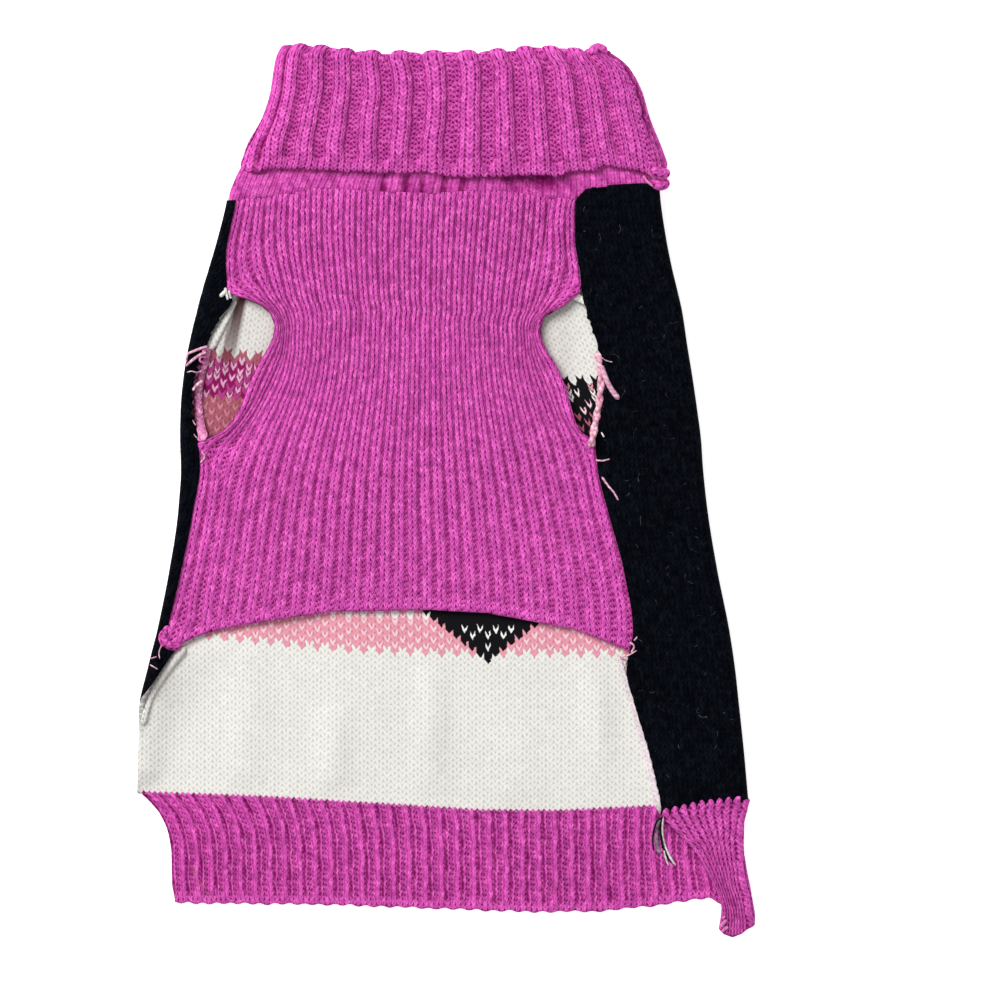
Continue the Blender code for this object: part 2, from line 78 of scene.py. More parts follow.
# The height of a course, and the width of a wale where it isn't a share of the cloth's width
HEM_COURSE = 1.8
COLLAR_COURSE = 1.68
BLACK_COURSE = 2
BLACK_WALE = 1.65
CREAM_COURSE = 2.07
CREAM_WALE = 2.71
TRIANGLE_X = 15.05

# Heights of the middle of each layer above the surface
LOW_LAYER = BACK_WALL / 2
HEM_LAYER = HEM_WALL / 2
TOP_LAYER = 3.5
BELLY_LAYER = 3.3
FOLD_RADIUS = 1.8

# How far from a fold the cloth above it has settled down to the top layer
LEFT_SETTLES = 6
RIGHT_SETTLES = 18
FLAP_SETTLES = 12

# Where the top layers climb to the collar, and where rows bend to follow the neck and hem seams
NECK_CLIMB = 2.2
NECK_CLIMB_FROM = 82
NECK_CLIMB_LENGTH = 20
NECK_BEND_FROM = 85
NECK_BEND_LENGTH = 20
HEM_BEND_LENGTH = 45


def rows_of(kind, *rows):
    """A table whose rows are all of one kind, each written as its plain values."""
    return [kind(*row) for row in rows]


Station = namedtuple("Station", "y left right_edge right")
BODY = rows_of(Station,
    (105, -75.5, 49.2, 75), (100.5, -76.2, 45.4, 75.4), (87.5, -79.5, 45.4, 77.4),
    (77, -82.6, 47, 79.5), (70, -84.7, 47.8, 81.2), (62, -86.8, 49.6, 83), (50, -89.6, 53.6, 84.8),
    (39, -91.4, 56, 86.6), (28, -92.4, 55, 88.2), (17, -92.6, 52.6, 89.6), (8, -92.3, 53.2, 90.2),
    (-7, -93.2, 56.8, 91.8), (-28, -96.3, 62.4, 95.2), (-49, -100.5, 65.6, 99.4),
    (-63, -103.8, 63.4, 101.5), (-75, -106.5, 66.3, 102.8), (-92, -107.6, 71.4, 104.6),
    (-109, -107.8, 75.4, 106.1))

# The back's left side: the cloth past the fold, measured round it, and the fold's radius
Fold = namedtuple("Fold", "y reach radius", defaults=(FOLD_RADIUS,))
LEFT_FOLD = rows_of(Fold,
    (105, 5.9), (87.5, 6.5), (70, 11.6), (66, 14.8), (62, 12.9), (57, 10.6), (50, 9), (39, 6.9),
    (28, 7.2), (17, 9.2), (8, 9.4), (-7, 8), (-28, 7), (-46, 6.4), (-50, 8.4), (-55, 11), (-58, 9.6),
    (-64, 7.2), (-70, 5.2), (-76, 3.4, 2.2), (-88, 2, 3.2), (-109, 1.6, 3.6))
# The raised lip that runs down the cream's left side: its width and height
Lip = namedtuple("Lip", "y width height")
LEFT_LIP = rows_of(Lip,
    (-49, 17, 0), (-58, 15, 3.2), (-70, 11, 4), (-87, 8, 3.2), (-101, 6, 2.2), (-109, 4.5, 0.8))

# Seams and edges that run across the sweater
Edge = namedtuple("Edge", "x y")
NECK_SEAM = rows_of(Edge,
    (-76, 100.6), (-54, 103.2), (-44, 105.6), (-30, 104.2), (-5, 103.4), (19, 104.6), (34, 102),
    (44.8, 101.2), (49.7, 105.2), (59.9, 106.4), (69, 106.8), (76, 106.2))
LOW_NECK_SEAM = 103.4
BELLY_HEM = rows_of(Edge,
    (-99.5, -52.6), (-96.6, -55), (-93.6, -56), (-90.4, -54.4), (-86, -51), (-80, -48.8), (-62, -45.6),
    (-40, -42.4), (-5, -41.7), (15, -42.8), (46, -48.6), (56, -52.6), (66, -56.6))
HEM_SEAM = rows_of(Edge,
    (-108, -106), (-65, -107.6), (-16, -110.6), (12, -112.4), (40, -112.6), (68, -111.2), (106, -108.5))
FLAP_SEAM = rows_of(Edge, (75, -113.8), (90, -110.4), (106, -108.5))
HEM_EDGE = rows_of(Edge,
    (-100, -144.4), (-42, -145), (-3, -146.4), (30, -147.6), (54, -147.4), (75, -145.2), (92, -142.6),
    (100, -146), (108, -151))
FLAP_EDGE = rows_of(Edge, (95, -152.6), (97.5, -155.2), (100.5, -156.2), (103.5, -155), (108, -151.4))
HEM = rows_of(Station,
    (-108.5, -107, 75.6, 106.2), (-112, -103.4, 77.2, 105.2), (-116, -100.2, 80.2, 104.2),
    (-122, -97.6, 84.6, 104), (-130, -96.4, 89.2, 104.8), (-140, -96.2, 94, 107),
    (-147, -95.2, 96.6, 108), (-156, -95.2, 95.6, 107.8))
LEFT_ARMHOLE = rows_of(Edge,
    (-78, 68.8), (-72.5, 67.6), (-64.4, 64.6), (-60.6, 61), (-59.2, 56), (-61.4, 50.4), (-65, 44),
    (-68.6, 36.4), (-71.8, 28), (-75.6, 22.4), (-81, 18.6), (-88, 16.4))
RIGHT_ARMHOLE = rows_of(Edge,
    (49.5, 70.4), (45.2, 67.6), (41.4, 64), (36, 61.4), (33.8, 59), (33.2, 56), (34.6, 50.4),
    (38.2, 44.8), (42, 36.4), (44.4, 28), (46.2, 22.4), (49, 19), (54, 16.4))

# How far the cream's courses have dropped towards the right, against the left
COURSE_DROP = rows_of(Edge, (-108, 6.4), (-80, 5.6), (-33, 1.2), (0, 0), (106, -0.4))

# Soft folds: a ridge, or a trough with a height below zero, along a leaning line down the cloth
Crease = namedtuple("Crease", "x y lean width length height")
BACK_CREASES = rows_of(Crease,
    (-39, -92, 0.05, 5.5, 17, 1.3), (-5, -82, 0, 5.5, 23, 1.4), (53.5, -78, -0.1, 5, 17, 1.4),
    (-70, -86, 0.05, 6.5, 26, 0.9), (26, -94, -0.1, 9, 18, 0.6), (-73.2, 62, 0.30, 1.7, 11, -0.9))
BELLY_CREASES = rows_of(Crease,
    (-52, 92, -0.2, 5, 12, 1.1), (-34, 94, 0, 5, 10, 0.9), (4, 94, 0.1, 6, 12, 0.8),
    (24, 92, 0.2, 4, 14, 1.2), (36, 94, 0.15, 1.8, 9, -1.3), (40, 90, 0.2, 3, 12, 1.2),
    (-14, 52, 0, 30, 34, 0.7), (-50, -30, 0.3, 10, 22, 0.6), (28, -30, -0.2, 12, 20, 0.6))

# The collar's rings from its neck edge, over the top fold, to its hem. low and high are the
# heights of the middle of the wall, below and above; end is how far each side curves in.
Ring = namedtuple("Ring", "place y left right low high end")
COLLAR = rows_of(Ring,
    (0, 105.2, -74.4, 73.8, 1.1, 5.8, 2.4), (1, 108, -73, 73.8, 2, 6.2, 2.4),
    (2, 112, -70.6, 73.2, 2.8, 6.2, 2.2), (3, 122, -64.4, 69.4, 3.5, 7, 2.8),
    (4, 136, -56.6, 65, 3.5, 7.4, 3), (5, 146, -55, 60.6, 3.5, 7.4, 3),
    (6, 149.6, -53.8, 55, 3.5, 7.4, 3), (7, 150.4, -54.4, 55.6, 3.1, 7.9, 4.5),
    (8, 150.9, -55.6, 56.6, 2.15, 9, 6.5), (9, 150.4, -56.8, 57.4, 1.2, 10.1, 8.5),
    (10, 149.6, -57.6, 58.6, 0.8, 10.6, 9.5), (11, 145.6, -58.5, 63.6, 0.8, 10.7, 10),
    (12, 138, -59.6, 67.6, 0.8, 10.8, 10.5), (13, 128, -62.6, 70.4, 0.8, 10.4, 10.5),
    (14, 118, -67.8, 74.2, 0.8, 9.5, 10), (15, 110.6, -70.4, 76.8, 0.8, 7.8, 9.5))
# Ribs counted across the front: the middle's number, how many over its width, and how they close
# up towards the sides
COLLAR_RIB_MIDDLE = 6.08
COLLAR_RIB_SPREAD = 11.25
COLLAR_RIB_CLOSING = 7
COLLAR_HEM_BELOW = 2.4
COLLAR_HEM = rows_of(Edge,
    (-78, 1.2), (-71.5, 0.9), (-66, 0.1), (-58.8, 1.7), (-43, 1), (-19.6, -0.1), (-7.4, 0.3),
    (-2.5, -0.2), (1.6, -1.4), (14.4, -1.5), (30.5, -0.6), (38.5, -1.2), (43.8, 0.5), (51.8, 0.9),
    (56, 2.5), (62.7, 1.6), (67.9, 0.6), (79, -3.4))

# MAGENTA, BLACK and CREAM each come with a darker colour, their painted shade, which the stitch gaps and
# valleys mix in
MAGENTA = (0.750, 0.102, 0.505)
MAGENTA_SHADE = (0.225, 0.001, 0.110)
BLACK = (0.0022, 0.0030, 0.0060)
BLACK_SHADE = (0.0006, 0.0006, 0.0012)
CREAM = (0.83, 0.82, 0.77)
CREAM_SHADE = (0.30, 0.28, 0.24)
PINK = (0.82, 0.33, 0.41)
PALE_PINK = (0.90, 0.62, 0.69)
CORAL = (0.46, 0.125, 0.175)
WHITE = (0.90, 0.89, 0.86)


# ------------------------ tables and sections


def column(table, name):
    return np.array([getattr(row, name) for row in table])


def in_order(table, along, name):
    order = np.argsort(column(table, along))
    return column(table, along)[order], column(table, name)[order]


def curve(table, along, name, at):
    """One column of a table read at any place along it, smooth and with no overshoot."""
    x, y = in_order(table, along, name)
    step = np.diff(x)
    slope = np.diff(y) / step
    before, after = slope[:-1], slope[1:]
    turning = before * after <= 0
    inner = np.where(turning, 0, 2 * before * after / np.where(turning, 1, before + after))
    tangent = np.concatenate([slope[:1], inner, slope[-1:]])
    at = np.clip(np.asarray(at, float), x[0], x[-1])
    i = np.clip(np.searchsorted(x, at) - 1, 0, len(step) - 1)
    t = (at - x[i]) / step[i]
    start = (1 + 2 * t) * (1 - t) ** 2 * y[i] + t * (1 - t) ** 2 * step[i] * tangent[i]
    end = t**2 * (3 - 2 * t) * y[i + 1] + t**2 * (t - 1) * step[i] * tangent[i + 1]
    return start + end


def at_x(line, x):
    """The height of a seam or an edge that runs across, on straight lines between its points."""
    return np.interp(x, *in_order(line, "x", "y"))


def body(side, y):
    """Where one of the back's sides or edges runs."""
    return curve(BODY, "y", side, y)


def ease(t, length=1):
    """0 to 1 over a length, slow at both ends."""
    t = np.clip(t / length, 0, 1)
    return t * t * (3 - 2 * t)


def bell(t, width=1):
    """1 at the middle, falling off smoothly to both sides."""
    return np.exp(-((t / width) ** 2))


def creases(table, x, y):
    """The height of all soft folds at a place."""
    height = np.zeros(np.broadcast(x, y).shape)
    for crease in table:
        across = (x - crease.x - crease.lean * (y - crease.y)) / crease.width
        height = height + crease.height * bell(across) * bell(y - crease.y, crease.length)
    return height


def uneven(*places, seed=0):
    """A smooth, repeatable unevenness from about -1 to 1."""
    total = 0
    for k, (pitch, share) in enumerate(((1, 0.5), (1.73, 0.3), (3.1, 0.2))):
        wave = sum(place * pitch * (1 + 0.37 * n) for n, place in enumerate(places))
        total = total + share * np.sin(wave + seed * 2.3 + k * 1.9)
    return total


def way_along(*places):
    """How far along its line each point is, from the line's coordinates."""
    steps = np.hypot(*(np.diff(place) for place in places))
    return np.concatenate([np.zeros_like(steps[..., :1]), np.cumsum(steps, axis=-1)], axis=-1)


def neck_rise(y):
    """How far the top layers climb towards the collar."""
    return NECK_CLIMB * ease(y - NECK_CLIMB_FROM, NECK_CLIMB_LENGTH)


def ragged(y, reach):
    """The looped edge of cut knitting."""
    return reach * (0.6 * np.abs(np.sin(y * 1.15 + 0.8 * np.sin(y * 0.31))) + 0.4 * uneven(y / 0.9) - 0.5)


def at_legs(y):
    """1 beside the armholes, where the back's edges are free, and 0 above and below."""
    return ease(y - 17, 3) * ease(69 - y, 3)


def left_reach(y):
    """How far the cloth goes past the left fold, measured round it."""
    return curve(LEFT_FOLD, "y", "reach", y) + ragged(y, 1.2) * at_legs(y)


def left_edge(y):
    """Where the back's left strip ends and the belly begins."""
    left = body("left", y)
    return left + BACK_WALL / 2 + FOLD_RADIUS + left_reach(y) - np.pi * FOLD_RADIUS


def left_side(y):
    """The cloth past the left fold: x and z of the wall's middle, from the low layer round on."""
    radius = curve(LEFT_FOLD, "y", "radius", y)
    reach = left_reach(y)
    way = reach * np.linspace(0, 1, y.shape[1])
    turn = np.minimum(way / radius, np.pi)
    flat = np.maximum(way - np.pi * radius, 0)
    widest = np.sin(np.minimum(reach / radius, np.pi / 2))
    start = body("left", y) + (BACK_WALL / 2 + radius) * widest
    settle = LOW_LAYER + 2 * radius - TOP_LAYER
    z = LOW_LAYER + radius * (1 - np.cos(turn)) - settle * ease(flat / LEFT_SETTLES)
    return start - radius * np.sin(turn) + flat, z, start


def right_fold(right, wall, low):
    """A half turn from the top layer down to the low one, leaving out both ends."""
    turn = np.linspace(0, np.pi, right.shape[1] + 2)[1:-1]
    x = right - wall / 2 - FOLD_RADIUS + FOLD_RADIUS * np.sin(turn)
    return x, low + FOLD_RADIUS + FOLD_RADIUS * np.cos(turn) + 0 * right


def normals(points, turned=False, ring=False):
    """Unit normals of a grid of points."""
    across = np.gradient(points, axis=1)
    if ring:
        across = np.roll(points, -1, axis=1) - np.roll(points, 1, axis=1)
    normal = np.cross(np.gradient(points, axis=0), across)
    normal = normal / np.maximum(np.linalg.norm(normal, axis=-1, keepdims=True), 1e-9)
    return -normal if turned else normal


def skins(points, normal, wall, rise, other_rise):
    """Both skins of a wall about its middle, each with its own rise, pressed flat by the floor."""
    made = []
    for side, height in ((normal, rise), (-normal, other_rise)):
        skin = points + side * np.asarray(wall / 2 + height)[..., None]
        skin[..., 2] = skin[..., 2].clip(0)
        made.append(skin)
    return made


def knit_numbers(wale, course, valley=0, purl=0, **more):
    """What a knitted material reads at each point of a grid."""
    none = np.zeros_like(wale)
    return {"wale": wale, "course": course + none, "valley": valley + none, "purl": purl + none, **more}


def ridge(phase, start, end, power=2.4):
    """The rounded top of a rib, 1 at its middle, over one share of the rib's repeat."""
    middle = (start + end) / 2
    t = np.abs(phase - middle) / ((end - start) / 2)
    return np.clip(1 - t**power, 0, 1) ** 0.7


# ------------------------ meshes


def grid_faces(rows, columns, base, turned, ring):
    """Quads of a grid of points that starts at base."""
    i, j = np.meshgrid(np.arange(rows - 1), np.arange(columns if ring else columns - 1), indexing="ij")
    k = (j + 1) % columns
    quads = np.stack([i * columns + j, (i + 1) * columns + j, (i + 1) * columns + k, i * columns + k], -1)
    quads = quads.reshape(-1, 4) + base
    return quads[:, ::-1] if turned else quads


def rim_faces(shown, hidden):
    """A strip of triangles between an edge of many points and one of fewer."""
    ratio = (len(shown) - 1) // (len(hidden) - 1)
    faces = []
    for k in range(len(hidden) - 1):
        for a in range(k * ratio, k * ratio + ratio):
            faces.append((shown[a], shown[a + 1], hidden[k + 1]))
        faces.append((shown[k * ratio], hidden[k + 1], hidden[k]))
    return faces


def wall_faces(rows, columns, down, over, ring):
    """Faces of a wall: its first skin whole, its second with only some rows and columns."""
    rows_2 = (rows - 1) // down + 1
    columns_2 = columns // over if ring else (columns - 1) // over + 1
    base = rows * columns
    first = grid_faces(rows, columns, 0, False, ring)
    second = grid_faces(rows_2, columns_2, base, True, ring)
    one = np.arange(base).reshape(rows, columns)
    two = base + np.arange(rows_2 * columns_2).reshape(rows_2, columns_2)
    if ring:
        one = np.concatenate([one, one[:, :1]], axis=1)
        two = np.concatenate([two, two[:, :1]], axis=1)
    rims = rim_faces(one[0], two[0])
    rims += [face[::-1] for face in rim_faces(one[-1], two[-1])]
    if not ring:
        rims += [face[::-1] for face in rim_faces(one[:, 0], two[:, 0])]
        rims += rim_faces(one[:, -1], two[:, -1])
    return first, second, rims


def put_in_scene(name, data):
    piece = bpy.data.objects.new(name, data)
    bpy.context.scene.collection.objects.link(piece)
    return piece


def add_mesh(name, points, faces, materials, numbers, slots=None):
    """A smooth mesh object from millimetre points, with the numbers that its material reads."""
    mesh = bpy.data.meshes.new(name)
    mesh.from_pydata((np.asarray(points) * MM).tolist(), [], faces)
    for material in materials:
        mesh.materials.append(material)
    if slots is not None:
        mesh.polygons.foreach_set("material_index", np.asarray(slots, np.int32))
    for key, values in numbers.items():
        stored = mesh.attributes.new(key, "FLOAT", "POINT")
        stored.data.foreach_set("value", np.asarray(values, np.float32).ravel())
    mesh.shade_smooth()
    mesh.update()
    return put_in_scene(name, mesh)


def add_wall(name, skins, numbers, materials, down=2, over=2, ring=False, flip=False):
    """A closed wall of cloth between two skins, each with its own numbers and its own material."""
    if flip:
        skins = [skin[:, ::-1] for skin in skins]
        numbers = [{key: grid[:, ::-1] for key, grid in one.items()} for one in numbers]
    first, second = skins
    rows, columns, _ = first.shape
    thin = (slice(None, None, down), slice(None, None, over))
    faces, hidden, rims = wall_faces(rows, columns, down, over, ring)
    slots = np.repeat([0, 1, 0], [len(faces), len(hidden), len(rims)])
    both = {key: np.concatenate([grid.ravel(), numbers[1][key][thin].ravel()])
            for key, grid in numbers[0].items()}
    points = np.concatenate([first.reshape(-1, 3), second[thin].reshape(-1, 3)])
    faces = faces.tolist() + hidden.tolist() + [tuple(int(i) for i in face) for face in rims]
    return add_mesh(name, points, faces, materials, both, slots)


# ------------------------ node trees


def join(node, values):
    """Gives each of a node's sockets a number, another node's socket or a constant."""
    for name, value in values.items():
        value = getattr(value, "socket", value)
        if isinstance(value, bpy.types.NodeSocket):
            node.id_data.links.new(value, node.inputs[name])
        else:
            node.inputs[name].default_value = (*value, 1) if isinstance(value, tuple) else value
    return node


def add_node(tree, kind, values, **settings):
    """A node with its settings and with what goes into its sockets."""
    node = tree.nodes.new("ShaderNode" + kind)
    for name, value in settings.items():
        setattr(node, name, value)
    return join(node, values)


class Number:
    """A value in a node tree, so that a formula of Math nodes reads as one line."""

    def __init__(self, socket):
        self.socket = socket

    def use(self, operation, *others):
        values = dict(enumerate((self, *others)))
        return Number(add_node(self.socket.id_data, "Math", values, operation=operation).outputs[0])

    __add__ = partialmethod(use, "ADD")
    __sub__ = partialmethod(use, "SUBTRACT")
    __mul__ = partialmethod(use, "MULTIPLY")
    fract = partialmethod(use, "FRACT")
    floor = partialmethod(use, "FLOOR")
    abs = partialmethod(use, "ABSOLUTE")
    power = partialmethod(use, "POWER")
    less = partialmethod(use, "LESS_THAN")
    most = partialmethod(use, "MAXIMUM")
    least = partialmethod(use, "MINIMUM")

    def __rsub__(self, other):
        return self * -1 + other

    def wave(self):
        """A cosine with one turn to each whole number."""
        return (self * (2 * math.pi)).use("COSINE")

    def every(self, count):
        """1 on each whole number that count divides, 0 on the others."""
        return ((self + 0.1) * (1 / count)).fract().less(0.9 / count)

    def within(self):
        return self.most(0).least(1)

    def bump(self, middle, width):
        """1 at the middle, falling to 0 at a width either side."""
        return (1 - (self - middle).abs() * (1 / width)).most(0)


class Group:
    """A group of shader nodes being made: the numbers and colours that go in and come out."""

    def __init__(self, name, values, outputs):
        self.tree = bpy.data.node_groups.new(name, "ShaderNodeTree")
        for label, value in values.items():
            kind = "NodeSocketColor" if isinstance(value, tuple) else "NodeSocketFloat"
            socket = self.tree.interface.new_socket(label, in_out="INPUT", socket_type=kind)
            socket.default_value = (*value, 1) if isinstance(value, tuple) else value
        for label in outputs:
            kind = "NodeSocketColor" if label == "Color" else "NodeSocketFloat"
            self.tree.interface.new_socket(label, in_out="OUTPUT", socket_type=kind)
        start = self.tree.nodes.new("NodeGroupInput").outputs
        self.colors = [start[label] for label in values if isinstance(values[label], tuple)]
        self.numbers = [Number(start[label]) for label in values if not isinstance(values[label], tuple)]

    def finish(self, values):
        join(self.tree.nodes.new("NodeGroupOutput"), values)
        return self.tree


def stitch_group():
    """Knit stitches from wale and course numbers: a braid of V legs, or purl bumps."""
    group = Group(
        "knit stitches",
        {"Wale": 0, "Course": 0, "Purl": 0, "Slant": 0.9, "Line": 0.75, "Dot": 0.5, "Centre": 0.3},
        ["Height", "Gap", "Shade"],
    )
    wale, course, purl, slant, line, dot, centre = group.numbers
    out = (wale.fract() - 0.5).abs() * 2
    braid = course + slant * out
    along = braid.fract()
    # A wale seen as a V has two legs, and one drawn tight is a single round cord
    cord = 1 - out.power(2.5)
    leg = 1 - (out * 2 - 1).abs().power(2)
    leg = cord + (leg - cord) * (centre * 1.6).least(1)
    swell = 1 - (along * 2 - 1).abs().power(2.5)
    dash = (along.wave() * 1.2 + dot).within()
    side_gap = out.bump(1, 0.42) * (dash * 0.9 + line)
    centre_gap = out.bump(0, 0.34) * dash * centre
    knit_gap = (side_gap + centre_gap + (1 - swell) * 0.22).least(1)
    knit = leg * 0.5 + swell * 0.5 - knit_gap * 0.5
    # Purl bumps sit like bricks: each row of holes is half a wale off the one above it
    brick = wale.wave() * (course + out * 0.35).wave()
    purl_gap = (brick * 2.5 - 0.1).within()
    purl_height = 0.5 - brick * 0.5
    # Each stitch catches the light a little differently
    stitch = add_node(group.tree, "CombineXYZ", {"X": wale.floor(), "Y": braid.floor()})
    values = {"Vector": stitch.outputs["Vector"]}
    chance = add_node(group.tree, "TexWhiteNoise", values, noise_dimensions="2D")
    # Gap marks the gaps between legs and between bumps, which take painted shade in the colour
    return group.finish({
        "Height": knit + (purl_height - knit) * purl,
        "Gap": knit_gap + (purl_gap - knit_gap) * purl,
        "Shade": Number(chance.outputs["Value"]) - 0.5,
    })


def yarn_group():
    """The unevenness of spun yarn: fine fibres, tufts of loose hair and slow shifts of tone."""
    scales = {"Fine": 1500, "Tuft": 520, "Slow": 28}
    group = Group("wool yarn", scales, ["Height", "Tone", "Slow Tone", "Tuft"])
    place = group.tree.nodes.new("ShaderNodeTexCoord").outputs["Object"]
    noises = []
    for scale, detail, roughness in zip(group.numbers, (2, 3, 2), (0.6, 0.6, 0.5)):
        values = {"Detail": detail, "Roughness": roughness, "Scale": scale, "Vector": place}
        noises.append(Number(add_node(group.tree, "TexNoise", values).outputs["Fac"]))
    fine, tuft, slow = noises
    return group.finish({
        "Height": fine * 0.6 + tuft * 0.4,
        "Tone": (fine - 0.5) * 0.9 + (tuft - 0.5) * 1.1,
        "Slow Tone": (slow - 0.5) * 2,
        "Tuft": tuft - 0.5,
    })


def dye_and_shade_group():
    """A dyed colour with painted shade in its gaps and valleys, shifting a little from place to place."""
    group = Group(
        "dyed yarn",
        {"Color": (0.5, 0.5, 0.5), "Deep Color": (0.1, 0.1, 0.1), "Gap": 0, "Valley": 0, "Tone": 0,
         "Slow Tone": 0, "Gap Share": 0.6, "Valley Share": 0.6, "Tone Share": 0.8, "Slow Share": 0.12,
         "Lift": 0},
        ["Color"],
    )
    color, deep = group.colors
    gap, valley, tone, slow, gap_share, valley_share, tone_share, slow_share, lift = group.numbers
    # Painted shade: the colour mixes towards the deep colour in the stitch gaps and in the valleys
    dark = 1 - (1 - gap * gap_share) * (1 - valley * valley_share)
    mix = add_node(group.tree, "Mix", {"Factor": dark, "A": color, "B": deep}, data_type="RGBA")
    bright = tone * tone_share + slow * slow_share + 1
    values = {0: mix.outputs["Result"], "Scale": bright}
    shade = add_node(group.tree, "VectorMath", values, operation="SCALE")
    # Loose fibres catch the light paler than the dye
    values = {0: shade.outputs["Vector"], 1: tone.most(0) * lift}
    pale = add_node(group.tree, "VectorMath", values, operation="ADD")
    return group.finish({"Color": pale.outputs["Vector"]})


STITCHES = stitch_group()
YARN = yarn_group()
DYE_AND_SHADE = dye_and_shade_group()


class Wool:
    """A wool material being made: its shader, and the groups placed in it."""

    def __init__(self, name, roughness, sheen, specular, sheen_tint):
        self.material = bpy.data.materials.new(name)
        self.material.use_nodes = True
        self.tree = self.material.node_tree
        self.shader = join(self.tree.nodes["Principled BSDF"], {
            "Roughness": roughness, "Specular IOR Level": specular, "Sheen Weight": sheen,
            "Sheen Roughness": 0.55, "Sheen Tint": sheen_tint,
        })

    def group(self, tree, **values):
        node = add_node(self.tree, "Group", {}, node_tree=tree)
        return join(node, {key.replace("_", " "): value for key, value in values.items()})

    def number(self, name):
        """A number that is stored at the mesh's points."""
        return Number(add_node(self.tree, "Attribute", {}, attribute_name=name).outputs["Fac"])

    def blend(self, factor, a, b, way="MIX"):
        """A colour between two, each a colour or a socket."""
        values = {"Factor": factor, "A": a, "B": b}
        return add_node(self.tree, "Mix", values, data_type="RGBA", blend_type=way).outputs["Result"]

    def finish(self, color, height, relief):
        """Joins the colour and a height, whose full range is relief millimetres."""
        bump = add_node(self.tree, "Bump", {"Distance": relief * MM, "Height": height})
        join(self.shader, {"Base Color": color, "Normal": bump.outputs["Normal"]})
        return self.material


def read(node, name):
    """One of a node's outputs, as a number."""
    return Number(node.outputs[name])


SHARES = ("Gap_Share", "Valley_Share", "Tone_Share", "Slow_Share")


def knit_material(name, color, deep, relief, slant=0.9, line=0.3, dot=0.4, centre=0.25, sheen=0.05,
                  shares=(0.97, 0.95, 1, 0.12), lift=0.14, pattern=None):
    """Knitted cloth in one colour, or with a pattern that gives each stitch its colour."""
    wool = Wool(name, 0.92, sheen, 0.03, tuple(min(1, c * 1.2 + 0.1) for c in color))
    yarn = wool.group(YARN)
    loose = read(yarn, "Tuft")
    wale = wool.number("wale") + loose * 0.3
    course = wool.number("course") + loose * 0.8
    line = wool.number(line) if isinstance(line, str) else line
    knit = wool.group(STITCHES, Wale=wale, Course=course, Purl=wool.number("purl"), Slant=slant,
                      Line=line, Dot=dot, Centre=centre)
    if pattern:
        loose = read(yarn, "Tone") * 0.16
        color, deep = pattern(wool, wale + loose, course + loose, slant)
    tone = read(yarn, "Tone") + read(knit, "Shade") * 0.32
    # The stitch gaps and the valley numbers give painted shade in the deep colour
    dyed_and_shaded = wool.group(DYE_AND_SHADE, Color=color, Deep_Color=deep, Gap=read(knit, "Gap"), Valley=wool.number("valley"),
                      Tone=tone, Slow_Tone=read(yarn, "Slow Tone"), Lift=lift, **dict(zip(SHARES, shares)))
    height = read(knit, "Height") * 0.8 + read(yarn, "Height") * 0.35
    return wool.finish(dyed_and_shaded.outputs["Color"], height, relief)


# The bands of the cream inside: stitches of one colour in rows counted from the neck. Each rule
# has its side, its first and last row, and which stitches it takes: every so many, moving on by
# one with each row where it is staggered. Narrow stitches leave some of their row's colour.
Rule = namedtuple("Rule", "side first last every start staggered narrow color")
TRIANGLE_WALE = 45
TRIANGLE_TOP = 71
TRIANGLE_HALF = 8.2
TRIANGLE_FIRST = 62
TRIANGLE_ROWS = 8.5
INK = (0.006, 0.006, 0.008)
WINE = (0.30, 0.010, 0.12)
BANDS = rows_of(Rule,
    ("low", 70, 77, 1, 0, False, False, PINK), ("low", 78, 78, 2, 1, False, False, PINK),
    ("low", 70, 77, 2, 0, True, True, PALE_PINK), ("low", 70, 72, 2, 1, False, False, WHITE),
    ("left", 30, 31, 1, 0, False, False, CORAL), ("left", 30, 30, 2, 0, False, False, CREAM),
    ("left", 32, 38, 1, 0, False, False, WINE), ("left", 32, 38, 2, 0, True, False, (0.50, 0.06, 0.27)),
    ("left", 31, 34, 3, 2, True, True, (0.80, 0.50, 0.66)),
    ("left", 32, 37, 3, 1, True, True, (0.84, 0.46, 0.66)), ("left", 38, 46, 1, 0, False, False, CORAL),
    ("left", 38, 46, 2, 0, True, True, (0.66, 0.25, 0.32)), ("right", 32, 43, 1, 0, False, False, INK),
    ("right", 32, 32, 2, 0, False, False, CREAM), ("right", 33, 33, 3, 1, False, True, PINK),
    ("right", 34, 35, 3, 0, True, True, WHITE), ("right", 34, 34, 3, 1, False, True, WHITE),
    ("right", 36, 37, 3, 0, True, True, PALE_PINK), ("right", 38, 41, 2, 1, True, True, CORAL))


